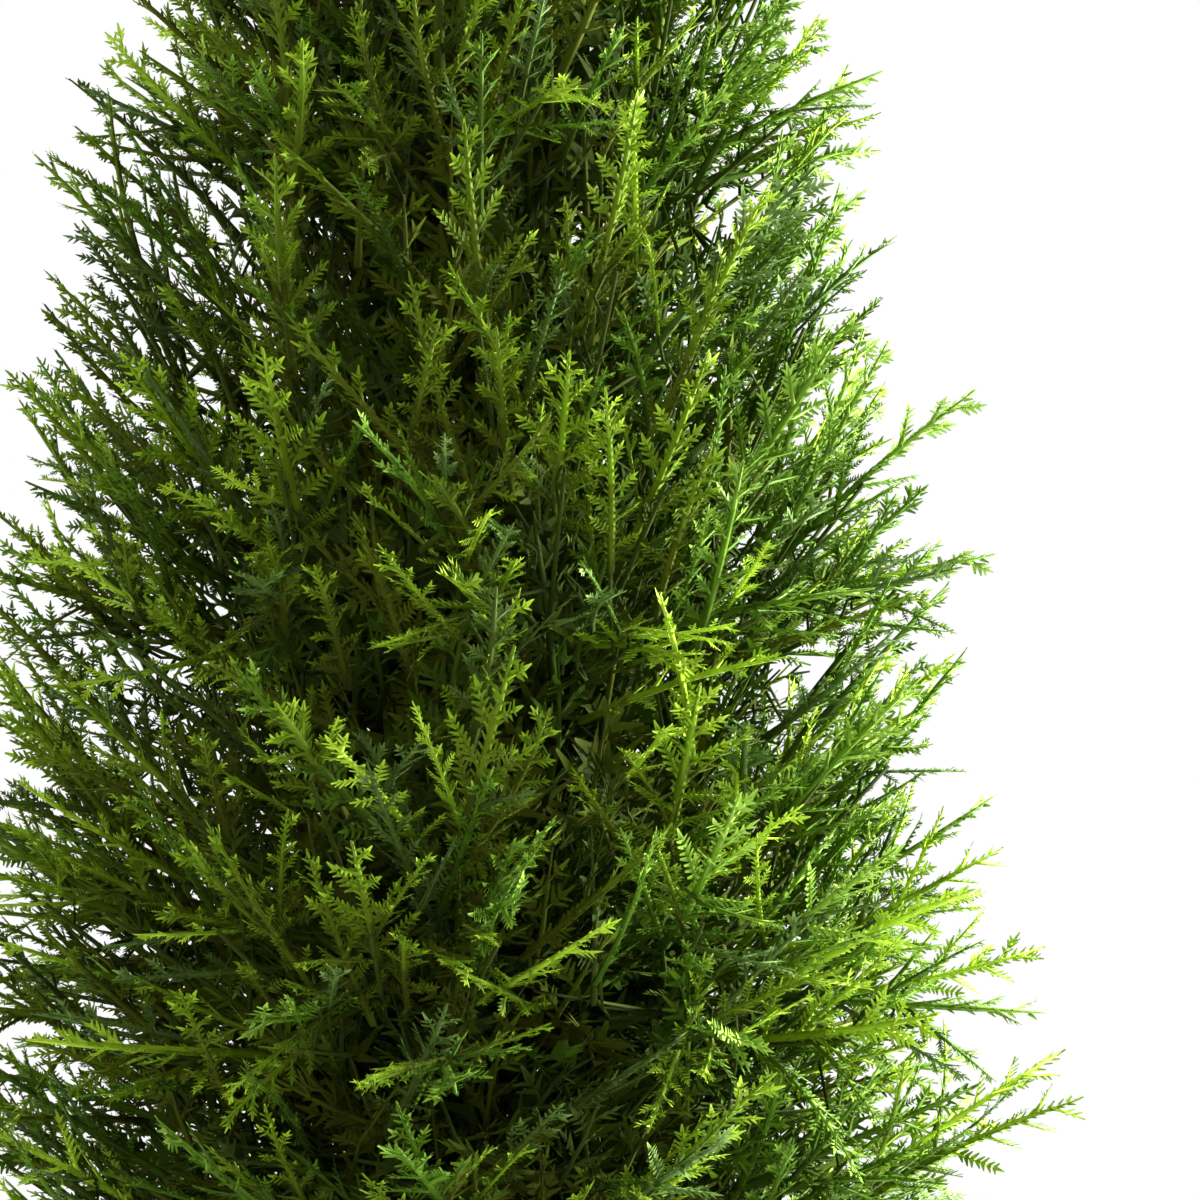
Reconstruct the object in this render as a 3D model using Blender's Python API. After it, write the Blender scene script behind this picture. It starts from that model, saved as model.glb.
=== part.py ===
"""A potted artificial cypress: a narrow cone of moulded green sprays on a thin trunk, in a plain pot.

Every length is in metres. Z is up, and the origin is the middle of the pot's flat underside.

A place in the crown is given by the branch line that runs through it. Each line leaves the trunk at
a height, in a direction round the trunk, and rises more steeply the higher it starts, so that no two
lines cross. A share along a line is 0 at the trunk and 1 at the crown's outline.
"""

import math
import random

import bmesh
import bpy
from mathutils import Vector

# Overall sizes
TREE_HEIGHT = 1.52
CROWN_FOOT = 0.23
WIDEST_HEIGHT = 0.40
WIDEST_RADIUS = 0.256
CROWN_TAPER = 1.25
GAP = 0.0003

# Pot and filling
POT_HEIGHT = 0.178
POT_FOOT_RADIUS = 0.080
POT_RIM_RADIUS = 0.105
POT_WALL = 0.003
POT_FLOOR = 0.005
RIM_BAND = 0.024
RIM_STEP = 0.0025
POT_EDGE = 0.0015
FILL_TOP = 0.156
FILL_FALL = 0.004
FILL_FLAT_RADIUS = 0.024
POT_SIDES = 32

# Trunk
TRUNK_TOP = 1.16
TRUNK_FLARE_HEIGHT = 0.035
TRUNK_FLARE = 0.0045
TRUNK_FOOT_RADIUS = 0.0115
TRUNK_TIP_RADIUS = 0.0040
TRUNK_LEAN = 0.006
TRUNK_SWAY = 0.0028
TRUNK_SIDES = 10
TRUNK_RINGS = 9

# How the branch lines rise
LOWEST_LINE = 0.262
LOWEST_RISE = math.radians(-5)
STEEPEST_RISE = math.radians(82)
RISE_LENGTH = 0.40
LINE_SLACK = 0.04

# Tiers of the crown: the height on the trunk where each begins, how many masses stand round the
# trunk in it, how far the first is turned, and the sprays in the low, middle and top row of a mass
TIERS = (
    ("skirt", 0.262, 5, 54.0, (3, 4, 3)),
    ("low", 0.372, 5, 34.0, (3, 4, 3)),
    ("middle", 0.480, 5, 4.0, (3, 4, 3)),
    ("upper", 0.630, 4, 75.0, (3, 4, 3)),
    ("high", 0.850, 3, 40.0, (2, 3, 3)),
)
CROWN_TOP_LINE = 1.115

# Boughs and the stems that go on from them
BOUGH_RADIUS = 0.0040
BOUGH_TIP_RADIUS = 0.0028
BOUGH_CLEARANCE = 0.0008
BOUGH_EASE = 0.65
STEM_TIP_RADIUS = 0.0016
BOUGH_END = 0.25
STEM_END = 0.56
BOUGH_SIDES = 5
BOUGH_RINGS = 3
STEM_SIDES = 5

# The dense heart of a mass, as shares of its own space
CORE_START = 0.30
CORE_END = 0.73
CORE_FILL = 0.93
CORE_ROUND = 0.50
CORE_LUMP = 0.08
CORE_AROUND = 7
CORE_ALONG = 5

# Sprays: each row of tips over a mass has its height in the mass's space, and how far the sprays
# lift to it
SPRAY_ROWS = ((-0.78, 0.05), (0.00, 0.35), (0.84, 0.30))
SPRAY_JITTER = 0.07
SPRAY_ROLL = (22.0, 52.0)
SPRAY_ROOT = 0.57
SPRAY_ROOT_SPREAD = 0.66
SPRAY_REACH = (0.93, 1.0)
SPRAY_WIDTH = 0.34
SPRAY_WIDEST = 0.036
SPRAY_BEND = 0.07
SPRAY_THICKNESS = 0.026
SPRAY_STEM = 0.0032
SPACE_MARGIN = 0.0022

# One side of a spray's toothed outline, as shares of its length and half width: each tooth is a side
# twig, given by its tip and by the notch beyond it
TOOTH_TIPS = ((0.55, 1.00), (0.75, 0.84), (0.92, 0.50))
TOOTH_NOTCHES = ((0.36, 0.13), (0.58, 0.11), (0.79, 0.08))
SPINE = ((0.00, 1.0), (0.20, 1.0), (0.44, 0.85), (0.66, 0.6))

# The leader above the trunk: each whorl of its sprays has a height, a number of sprays, how steeply
# they rise in degrees, and their length
LEADER_WHORLS = (
    (1.200, 3, 56.0, 0.100),
    (1.250, 3, 60.0, 0.098),
    (1.300, 3, 66.0, 0.092),
    (1.345, 2, 71.0, 0.088),
    (1.390, 2, 76.0, 0.080),
)
LEADER_TURN = 137.5
LEADER_RADIUS = 0.0036
LEADER_CORE = (1.200, 1.400, 0.013)
LEADER_CORE_AROUND = 6
LEADER_CORE_ALONG = 4


def clear_scene():
    for obj in list(bpy.data.objects):
        bpy.data.objects.remove(obj, do_unlink=True)


def material(name, colour, roughness, metallic=0.0):
    made = bpy.data.materials.new(name)
    made.use_nodes = True
    shader = made.node_tree.nodes["Principled BSDF"]
    shader.inputs["Base Color"].default_value = (*colour, 1)
    shader.inputs["Roughness"].default_value = roughness
    shader.inputs["Metallic"].default_value = metallic
    return made


def object_of(name, shape, finish, smooth_below=None):
    """Makes a named object of a bmesh, with its faces pointing out."""
    bmesh.ops.recalc_face_normals(shape, faces=shape.faces)
    mesh = bpy.data.meshes.new(name)
    shape.to_mesh(mesh)
    shape.free()
    if smooth_below:
        mesh.shade_smooth()
        mesh.set_sharp_from_angle(angle=math.radians(smooth_below))
    mesh.materials.append(finish)
    obj = bpy.data.objects.new(name, mesh)
    bpy.context.scene.collection.objects.link(obj)
    return obj


# Where things are in the crown


def crown_radius(height):
    """The radius of the crown's outline, out to its furthest tips."""
    if height < WIDEST_HEIGHT:
        share = (WIDEST_HEIGHT - height) / (WIDEST_HEIGHT - CROWN_FOOT)
        return WIDEST_RADIUS * math.sqrt(max(0.0, 1 - share * share))
    share = min(1.0, (height - WIDEST_HEIGHT) / (TREE_HEIGHT - WIDEST_HEIGHT))
    return WIDEST_RADIUS * (1 - share**CROWN_TAPER)


def rise(start):
    """How steeply the branch line that starts at this height goes up."""
    grown = 1 - math.exp(-max(0.0, start - LOWEST_LINE) / RISE_LENGTH)
    return LOWEST_RISE + (STEEPEST_RISE - LOWEST_RISE) * grown


def line_direction(start, turn):
    angle = rise(start)
    level = math.cos(angle)
    return Vector((level * math.cos(turn), level * math.sin(turn), math.sin(angle)))


def line_length(start):
    """How far it is along a branch line to the crown's outline."""
    angle = rise(start)
    near, far = 0.0, 2 * WIDEST_RADIUS
    for _ in range(30):
        middle = (near + far) / 2
        if middle * math.cos(angle) < crown_radius(start + middle * math.sin(angle)):
            near = middle
        else:
            far = middle
    return near


def in_crown(start, turn, share):
    """The point at a share of the way along a branch line."""
    reach = share * line_length(start)
    return Vector((0, 0, start)) + line_direction(start, turn) * reach


def line_through(point):
    """The height at which the branch line through a point leaves the trunk."""
    radius = math.hypot(point.x, point.y)
    low, high = LOWEST_LINE - 0.1, TREE_HEIGHT
    for _ in range(30):
        middle = (low + high) / 2
        if middle + radius * math.tan(rise(middle)) < point.z:
            low = middle
        else:
            high = middle
    return low


class Space:
    """The part of the crown that one mass of foliage keeps to."""

    def __init__(self, low, high, turn, spread):
        self.low, self.high = low, high
        self.turn, self.spread = turn, spread
        self.middle = (low + high) / 2

    def at(self, across, up, share):
        """A point from places across and up the space, each from -1 to 1, and a share outwards."""
        start = self.middle + up * (self.high - self.low) / 2
        return in_crown(start, self.turn + across * self.spread / 2, share)

    def holds(self, point):
        start = line_through(point)
        margin = SPACE_MARGIN / math.cos(rise(start))
        lowest = self.low + margin
        if self.low <= LOWEST_LINE:
            lowest = self.low - LINE_SLACK
        if not lowest < start < self.high - margin:
            return False
        radius = math.hypot(point.x, point.y)
        off = math.atan2(point.y, point.x) - self.turn
        off = abs((off + math.pi) % (2 * math.pi) - math.pi)
        return radius * math.sin(self.spread / 2 - off) > SPACE_MARGIN


class TopSpace:
    """The space above the highest tier, all round the leader."""

    def holds(self, point):
        start = line_through(point)
        return start > CROWN_TOP_LINE + SPACE_MARGIN / math.cos(rise(start))


# Limbs


def trunk_axis(height):
    share = (height - FILL_TOP) / (TRUNK_TOP - FILL_TOP)
    return Vector(
        (
            TRUNK_LEAN * share**2 - TRUNK_SWAY * math.sin(7.0 * share),
            TRUNK_SWAY * math.sin(5.0 * share),
            height,
        )
    )


def trunk_radius(height):
    share = (height - FILL_TOP) / (TRUNK_TOP - FILL_TOP)
    radius = TRUNK_FOOT_RADIUS + (TRUNK_TIP_RADIUS - TRUNK_FOOT_RADIUS) * share
    flare = TRUNK_FLARE * math.exp(-(height - FILL_TOP) / TRUNK_FLARE_HEIGHT * 2.5)
    return radius + flare


def ring_round(centre, along, side, radius, sides):
    """Points round a centre, the first of them to its side."""
    other = along.cross(side).normalized()
    return [
        centre
        + (side * math.cos(angle) + other * math.sin(angle)) * radius
        for angle in (2 * math.pi * k / sides for k in range(sides))
    ]


def limb(rings):
    """A closed tube through rings of points, the first and the last of which it caps."""
    shape = bmesh.new()
    rows = [[shape.verts.new(p) for p in ring] for ring in rings]
    sides = len(rows[0])
    for row, following in zip(rows, rows[1:]):
        for k in range(sides):
            after = (k + 1) % sides
            shape.faces.new((row[k], row[after], following[after], following[k]))
    shape.faces.new(rows[0])
    shape.faces.new(rows[-1])
    return shape


def make_trunk(finish):
    foot = FILL_TOP + GAP
    up, side = Vector((0, 0, 1)), Vector((1, 0, 0))
    rings = []
    for k in range(TRUNK_RINGS + 1):
        height = foot + (TRUNK_TOP - foot) * (k / TRUNK_RINGS) ** 1.6
        rings.append(
            ring_round(trunk_axis(height), up, side, trunk_radius(height), TRUNK_SIDES)
        )
    object_of("trunk", limb(rings), finish, smooth_below=50)


def against_trunk(point, heading, flat):
    """Slides a point along a limb to an upright plane that is just clear of the trunk."""
    for _ in range(4):
        away = (point - trunk_axis(point.z)).dot(flat)
        short = trunk_radius(point.z) + BOUGH_CLEARANCE - away
        point = point + heading * (short / heading.dot(flat))
    return point


def make_bough(name, space, finish):
    """A tapering limb that leaves the trunk gently and bends up to its mass of foliage."""
    along = line_direction(space.middle, space.turn)
    end = space.at(0, 0, BOUGH_END) - along * GAP
    flat = Vector((along.x, along.y, 0)).normalized()
    side = Vector((-flat.y, flat.x, 0))
    steep = rise(space.middle)
    half = (end.length_squared - end.z**2) ** 0.5 / 2
    low = end.z - half * (math.tan(steep) + math.tan(steep * BOUGH_EASE))
    start = against_trunk(trunk_axis(low), flat, flat)
    bend = end - along * ((end - start).dot(flat) / 2 / math.cos(steep))
    rings = []
    for k in range(BOUGH_RINGS + 1):
        share = k / BOUGH_RINGS
        before, after = start.lerp(bend, share), bend.lerp(end, share)
        heading = (after - before).normalized()
        radius = BOUGH_RADIUS + (BOUGH_TIP_RADIUS - BOUGH_RADIUS) * share
        rings.append(ring_round(before.lerp(after, share), heading, side, radius, BOUGH_SIDES))
    heading = (bend - start).normalized()
    rings[0] = [against_trunk(p, heading, flat) for p in rings[0]]
    object_of(name, limb(rings), finish, smooth_below=50)


# Foliage


def core_shape(space, chance):
    """The heart of a mass: a rounded, lumpy block that fills part of the mass's space."""
    shape = bmesh.new()
    bmesh.ops.create_uvsphere(shape, u_segments=CORE_AROUND, v_segments=CORE_ALONG, radius=1)
    for vert in shape.verts:
        place = [math.copysign(abs(x) ** CORE_ROUND, x) for x in vert.co]
        swell = CORE_FILL * (1 - CORE_LUMP * chance.random())
        middle = (CORE_START + CORE_END) / 2
        share = middle + place[2] * (CORE_END - CORE_START) / 2
        vert.co = space.at(place[0] * swell, place[1] * swell, share)
    return shape


class Spray:
    """A flat, fern-like spray: where it is rooted, which way it points and how it is turned."""

    def __init__(self, root, tip, roll, bend):
        self.root = root
        self.length = (tip - root).length
        self.along = (tip - root).normalized()
        level = Vector((-self.along.y, self.along.x, 0)).normalized()
        upper = self.along.cross(level) * -1
        self.across = level * math.cos(roll) + upper * math.sin(roll)
        self.normal = self.along.cross(self.across)
        self.bend = bend
        self.half_width = min(SPRAY_WIDEST, SPRAY_WIDTH * self.length)

    def at(self, along, across, height=0.0):
        """A point from shares of the length and half width, and a height off the spray's plane."""
        arch = self.bend * self.length * along * (1 - along)
        return (
            self.root
            + self.along * (along * self.length)
            + self.across * (across * self.half_width)
            + self.normal * (height + arch)
        )


def kept_in(space, spray, along, across):
    """A tooth's tip, drawn in towards the spray's stem until it lies in the mass's space."""
    for _ in range(8):
        middle = spray.at(along, across * 0.55)
        if space.holds(spray.at(along, across)) and space.holds(middle):
            break
        across *= 0.78
    return spray.at(along, across)


def spray_blade(space, spray):
    """The spray as one toothed blade, flat below and ridged above along its stem and its teeth."""
    shape = bmesh.new()
    thick = SPRAY_THICKNESS * spray.length
    stem = SPRAY_STEM / 2 / spray.half_width
    ridge = [shape.verts.new(spray.at(u, 0, thick * share)) for u, share in SPINE]
    end = shape.verts.new(spray.at(1, 0))
    edges = []
    for side in (1, -1):
        notch = shape.verts.new(spray.at(0, side * stem))
        shape.faces.new((ridge[0], notch, ridge[1]))
        edge = [notch]
        for k, (tip_at, notch_at) in enumerate(zip(TOOTH_TIPS, TOOTH_NOTCHES), start=1):
            tip = shape.verts.new(kept_in(space, spray, tip_at[0], side * tip_at[1]))
            beyond = shape.verts.new(spray.at(notch_at[0], side * notch_at[1]))
            ahead = end if k == len(TOOTH_TIPS) else ridge[k + 1]
            shape.faces.new((notch, tip, ridge[k]))
            shape.faces.new((tip, beyond, ridge[k]))
            shape.faces.new((beyond, ahead, ridge[k]))
            shape.faces.new((notch, beyond, tip))
            notch = beyond
            edge.append(notch)
        edges.append(edge)
    left, right = edges
    for k in range(len(TOOTH_TIPS)):
        shape.faces.new((left[k], left[k + 1], right[k]))
        shape.faces.new((right[k], right[k + 1], left[k + 1]))
    shape.faces.new((left[-1], end, right[-1]))
    shape.faces.new((ridge[0], left[0], right[0]))
    return shape


def mass_sprays(space, counts, chance):
    """The sprays of a mass: rows of tips over its outer face, fanning out and up from its heart."""
    made = []
    for (row_height, lift), count in zip(SPRAY_ROWS, counts):
        for k in range(count):
            across = (2 * k + 1 - count) / count + chance.uniform(-SPRAY_JITTER, SPRAY_JITTER)
            up = row_height + chance.uniform(-SPRAY_JITTER, SPRAY_JITTER)
            tip = space.at(across, up, chance.uniform(*SPRAY_REACH))
            root_up = up * SPRAY_ROOT_SPREAD - lift
            root = space.at(across * SPRAY_ROOT_SPREAD, root_up, SPRAY_ROOT)
            roll = math.radians(chance.uniform(*SPRAY_ROLL))
            bend = chance.uniform(-SPRAY_BEND, SPRAY_BEND)
            made.append(Spray(root, tip, roll if k % 2 else -roll, bend))
    return made


def leader_sprays(chance):
    """The sprays round the leader, in whorls that steepen towards its tip."""
    made = []
    foot = trunk_axis(TRUNK_TOP)
    for height, count, angle, length in LEADER_WHORLS:
        for _ in range(count):
            turn = math.radians(LEADER_TURN * len(made) + chance.uniform(-10, 10))
            steep = math.radians(angle + chance.uniform(-4, 4))
            level = math.cos(steep)
            along = Vector((level * math.cos(turn), level * math.sin(turn), math.sin(steep)))
            root = Vector((foot.x, foot.y, height + chance.uniform(0, 0.012)))
            roll = math.radians(chance.uniform(-40, 40))
            made.append(Spray(root, root + along * length, roll, -SPRAY_BEND))
    top = Vector((foot.x * 0.5, foot.y * 0.5, TREE_HEIGHT))
    made.append(Spray(Vector((foot.x, foot.y, TREE_HEIGHT - 0.13)), top, 0.4, 0.0))
    return made


def leader_core():
    """The slim, close heart of the foliage round the leader."""
    shape = bmesh.new()
    bmesh.ops.create_uvsphere(
        shape, u_segments=LEADER_CORE_AROUND, v_segments=LEADER_CORE_ALONG, radius=1
    )
    low, high, radius = LEADER_CORE
    foot = trunk_axis(TRUNK_TOP)
    for vert in shape.verts:
        height = (low + high) / 2 + vert.co.z * (high - low) / 2
        width = radius * (1 - 0.35 * vert.co.z)
        vert.co = Vector((foot.x + vert.co.x * width, foot.y + vert.co.y * width, height))
    return shape


def fused(base, pieces, solver="EXACT"):
    """Joins pieces to a base with one Boolean union and removes them."""
    group = bpy.data.collections.new(base.name + "_pieces")
    bpy.context.scene.collection.children.link(group)
    for piece in pieces:
        bpy.context.scene.collection.objects.unlink(piece)
        group.objects.link(piece)
    union = base.modifiers.new("union", "BOOLEAN")
    union.operation = "UNION"
    union.operand_type = "COLLECTION"
    union.collection = group
    union.solver = solver
    graph = bpy.context.evaluated_depsgraph_get()
    joined = bpy.data.meshes.new_from_object(base.evaluated_get(graph))
    base.modifiers.clear()
    base.data = joined
    for piece in pieces:
        bpy.data.objects.remove(piece, do_unlink=True)
    bpy.data.collections.remove(group)


def make_mass(name, space, counts, seed, finish):
    chance = random.Random(seed)
    base = object_of(name, core_shape(space, chance), finish)
    along = line_direction(space.middle, space.turn)
    side = Vector((-along.y, along.x, 0)).normalized()
    start = space.at(0, 0, BOUGH_END)
    end = space.at(0, 0, STEM_END)
    rings = [
        ring_round(start, along, side, BOUGH_TIP_RADIUS, STEM_SIDES),
        ring_round(end, along, side, STEM_TIP_RADIUS, STEM_SIDES),
    ]
    pieces = [object_of(name + "_stem", limb(rings), finish)]
    for k, spray in enumerate(mass_sprays(space, counts, chance)):
        pieces.append(object_of(f"{name}_spray_{k}", spray_blade(space, spray), finish))
    fused(base, pieces)


def make_leader(seed, finish):
    """The mass at the top: a leader that goes on from the trunk's tip, with sprays all round it."""
    chance = random.Random(seed)
    foot = trunk_axis(TRUNK_TOP + GAP)
    end = Vector((foot.x, foot.y, TREE_HEIGHT - 0.10))
    up, side = Vector((0, 0, 1)), Vector((1, 0, 0))
    rings = [
        ring_round(foot, up, side, LEADER_RADIUS, STEM_SIDES),
        ring_round(end, up, side, STEM_TIP_RADIUS, STEM_SIDES),
    ]
    base = object_of("top_foliage", limb(rings), finish)
    pieces = [object_of("top_core", leader_core(), finish)]
    for k, spray in enumerate(leader_sprays(chance)):
        pieces.append(object_of(f"top_spray_{k}", spray_blade(TopSpace(), spray), finish))
    fused(base, pieces, "MANIFOLD")


# Pot and filling


def turned(name, profile, sides, finish):
    """A closed solid turned about the Z axis from a profile that starts and ends on it."""
    shape = bmesh.new()
    points = [shape.verts.new((radius, 0, height)) for radius, height in profile]
    edges = [shape.edges.new(pair) for pair in zip(points, points[1:])]
    bmesh.ops.spin(
        shape,
        geom=points + edges,
        cent=(0, 0, 0),
        axis=(0, 0, 1),
        angle=2 * math.pi,
        steps=sides,
        use_merge=True,
    )
    bmesh.ops.remove_doubles(shape, verts=shape.verts, dist=1e-6)
    return object_of(name, shape, finish, smooth_below=40)


def wall_radius(height):
    """The outer radius of the pot's tapered wall."""
    slope = (POT_RIM_RADIUS - RIM_STEP - POT_FOOT_RADIUS) / POT_HEIGHT
    return POT_FOOT_RADIUS + slope * height


def make_pot(finish):
    band = POT_HEIGHT - RIM_BAND
    profile = [
        (0, 0),
        (POT_FOOT_RADIUS - POT_EDGE, 0),
        (wall_radius(POT_EDGE), POT_EDGE),
        (wall_radius(band), band),
        (wall_radius(band) + RIM_STEP, band + POT_EDGE / 2),
        (POT_RIM_RADIUS, POT_HEIGHT - POT_EDGE),
        (POT_RIM_RADIUS - POT_EDGE, POT_HEIGHT),
        (wall_radius(POT_HEIGHT) - POT_WALL + POT_EDGE / 2, POT_HEIGHT),
        (wall_radius(POT_HEIGHT) - POT_WALL, POT_HEIGHT - POT_EDGE / 2),
        (wall_radius(POT_FLOOR) - POT_WALL, POT_FLOOR),
        (0, POT_FLOOR),
    ]
    turned("pot", profile, POT_SIDES, finish)


def make_filling(finish):
    edge = FILL_TOP - FILL_FALL
    profile = [
        (0, POT_FLOOR + GAP),
        (wall_radius(POT_FLOOR) - POT_WALL - GAP, POT_FLOOR + GAP),
        (wall_radius(edge) - POT_WALL - GAP, edge),
        (FILL_FLAT_RADIUS, FILL_TOP),
        (0, FILL_TOP),
    ]
    turned("pot_filling", profile, POT_SIDES, finish)


def main():
    clear_scene()
    make_pot(material("black plastic", (0.018, 0.018, 0.019), 0.5))
    make_filling(material("dark filling", (0.055, 0.040, 0.028), 0.95))
    bark = material("brown bark", (0.120, 0.070, 0.042), 0.85)
    greens = [
        material("deep green", (0.030, 0.085, 0.022), 0.5),
        material("leaf green", (0.060, 0.150, 0.020), 0.5),
        material("fresh green", (0.110, 0.220, 0.025), 0.5),
    ]
    make_trunk(bark)
    seed = 0
    tops = [tier[1] for tier in TIERS[1:]] + [CROWN_TOP_LINE]
    for (tier, low, count, first, sprays), high in zip(TIERS, tops):
        for k in range(count):
            spread = 2 * math.pi / count
            space = Space(low, high, math.radians(first) + spread * k, spread)
            seed += 1
            make_bough(f"{tier}_bough_{k + 1}", space, bark)
            green = greens[seed % len(greens)]
            make_mass(f"{tier}_foliage_{k + 1}", space, sprays, seed, green)
    make_leader(seed + 1, greens[-1])


main()
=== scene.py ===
"""The looks of a potted artificial cypress: moulded green sprigs on wire boughs, in a black pot.

Every length is in metres, in the same frame as the solids: Z is up, and the origin is the middle of
the pot's flat underside. The crown follows the same rule of branch lines as the solids, and carries
it on from their large sprays to sprigs with side twigs and needles.
"""

import math
import random

import bmesh
import bpy
import numpy as np
from bpy.props import (
    EnumProperty,
    FloatProperty,
    FloatVectorProperty,
    IntProperty,
    PointerProperty,
)
from mathutils import Matrix, Vector, noise


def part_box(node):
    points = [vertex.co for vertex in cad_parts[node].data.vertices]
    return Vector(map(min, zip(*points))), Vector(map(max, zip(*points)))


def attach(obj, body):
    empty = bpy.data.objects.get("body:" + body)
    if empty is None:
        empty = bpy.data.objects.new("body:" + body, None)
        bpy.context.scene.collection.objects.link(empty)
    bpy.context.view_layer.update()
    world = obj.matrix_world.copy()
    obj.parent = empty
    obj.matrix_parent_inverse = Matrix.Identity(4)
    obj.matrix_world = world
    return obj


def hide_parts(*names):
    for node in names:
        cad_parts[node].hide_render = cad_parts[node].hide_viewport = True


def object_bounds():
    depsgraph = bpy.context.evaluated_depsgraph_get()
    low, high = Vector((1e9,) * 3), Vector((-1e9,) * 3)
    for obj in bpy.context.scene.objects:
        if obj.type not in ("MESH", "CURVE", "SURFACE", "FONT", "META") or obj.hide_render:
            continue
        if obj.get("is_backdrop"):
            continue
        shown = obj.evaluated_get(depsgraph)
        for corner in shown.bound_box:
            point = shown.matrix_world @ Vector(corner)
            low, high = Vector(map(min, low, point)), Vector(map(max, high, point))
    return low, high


bl_info = {
    "name": "Potted Cypress Dressing",
    "version": (1, 0, 0),
    "blender": (4, 5, 0),
    "location": "View3D > Sidebar > Cypress",
    "description": "Grows the foliage, bark, pot and filling of a potted artificial cypress",
    "category": "Add Mesh",
}

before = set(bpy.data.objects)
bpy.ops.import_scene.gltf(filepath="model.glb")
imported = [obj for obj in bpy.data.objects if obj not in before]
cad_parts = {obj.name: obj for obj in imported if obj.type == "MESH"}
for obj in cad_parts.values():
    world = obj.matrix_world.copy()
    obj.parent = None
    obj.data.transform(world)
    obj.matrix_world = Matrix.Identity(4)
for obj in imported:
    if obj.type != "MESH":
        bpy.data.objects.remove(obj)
SOLID_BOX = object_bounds()

# Places read from the solids
POT_LOW, POT_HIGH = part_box("pot")
TRUNK_FOOT, TRUNK_TOP = (corner[2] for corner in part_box("trunk"))
FILL_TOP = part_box("pot_filling")[1][2]
TREE_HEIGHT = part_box("top_foliage")[1][2]
POT_HEIGHT = POT_HIGH[2]
POT_RIM_RADIUS = (POT_HIGH[0] - POT_LOW[0]) / 2

UP = Vector((0, 0, 1))

# The crown's outline and its branch lines, as in the solids
CROWN_FOOT = 0.23
WIDEST_HEIGHT = 0.40
WIDEST_RADIUS = 0.256
CROWN_TAPER = 1.25
LOWEST_LINE = 0.262
LOWEST_RISE = math.radians(-5)
STEEPEST_RISE = math.radians(82)
RISE_LENGTH = 0.40
CROWN_TOP_LINE = 1.115

# Tiers: where each begins on the trunk, how many masses it has, how far the first is turned, and the
# large sprays in the low, middle and top row of a mass
TIERS = {
    "skirt": (0.262, 5, 54.0, (3, 4, 3)),
    "low": (0.372, 5, 34.0, (3, 4, 3)),
    "middle": (0.480, 5, 4.0, (3, 4, 3)),
    "upper": (0.630, 4, 75.0, (3, 4, 3)),
    "high": (0.850, 3, 40.0, (2, 3, 3)),
}

# Limbs, as in the solids
TRUNK_FLARE_HEIGHT = 0.035
TRUNK_FLARE = 0.0045
TRUNK_FOOT_RADIUS = 0.0115
TRUNK_TIP_RADIUS = 0.0040
TRUNK_LEAN = 0.006
TRUNK_SWAY = 0.0028
BOUGH_RADIUS = 0.0040
BOUGH_TIP_RADIUS = 0.0028
BOUGH_CLEARANCE = 0.0008
BOUGH_EASE = 0.65
BOUGH_END = 0.25
STEM_TIP_RADIUS = 0.0016
STEM_END = 0.56

# Large sprays, as in the solids: each row of tips over a mass, and how far its sprays lift to it
SPRAY_ROWS = ((-0.78, 0.05), (0.00, 0.35), (0.84, 0.30))
SPRAY_JITTER = 0.07
SPRAY_ROLL = (22.0, 52.0)
SPRAY_ROOT = 0.57
SPRAY_ROOT_SPREAD = 0.66
SPRAY_REACH = (0.93, 1.0)
SPRAY_BEND = 0.07
CORE_POINTS = 30
LEADER_WHORLS = (
    (1.200, 3, 56.0, 0.100),
    (1.250, 3, 60.0, 0.098),
    (1.300, 3, 66.0, 0.092),
    (1.345, 2, 71.0, 0.088),
    (1.390, 2, 76.0, 0.080),
)
LEADER_TURN = 137.5
LEADER_RADIUS = 0.0036

# Pot, as in the solids
POT_WALL = 0.003
POT_FLOOR = 0.005
POT_FOOT_RADIUS = 0.080
RIM_BAND = 0.024
RIM_STEP = 0.0025
POT_EDGE = 0.0015
FILL_FALL = 0.004
GAP = 0.0003

# The record's slots for the foliage, in the order that they are passed along for the masses
GREEN_SLOTS = ("deep_green", "leaf_green", "fresh_green")

# Each of the three greens has this many tints, from shade to tip
TINTS = 5

# How much darker all sprigs start, how much paler they are on the tree's right side, as painted
# light from the key light there, where that side begins and over what width it comes in, and how
# much less often its sprigs are yellow or blue green there, as painted light shining through them
FRONT_TONE, RIGHT_PAINTED_LIGHT = 0.095, 0.20
PAINTED_LIGHT_FROM, PAINTED_LIGHT_WIDTH = 0.01, 0.12
PAINTED_LIGHT_FEWER_YELLOW, PAINTED_LIGHT_FEWER_BLUE = 0.45, 0.4

# The share of sprigs that are young and lime green, and how much paler these are
YOUNG_SHARE, YOUNG_TONE = 0.075, 0.5

# How much rougher the tints are in the shade than at the tips, and how much they all reflect
SHADE_ROUGHER, LEAF_GLOSS = 0.42, 0.10

# How much paler a sprig is at its tip than at its root, and a side twig at its own: partly the
# moulding's own pale tips, and partly painted shade at the roots
STEM_TONE, TWIG_TONE = 0.6, 0.28

# Sprigs for the ends of branches, for the crown's outside, for behind it and for its depth: how many
# different ones are moulded, how much longer their needles are, how much further apart, what share of
# the side twigs they have, and how much longer these are
PATTERNS = {
    "end": (5, 1.0, 1.0, 1.0, 1.6),
    "outer": (8, 1.0, 1.0, 1.0, 1.0),
    "inner": (3, 2.2, 1.9, 0.75, 1.2),
    "deep": (2, 4.2, 3.6, 0.6, 1.4),
}

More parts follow.
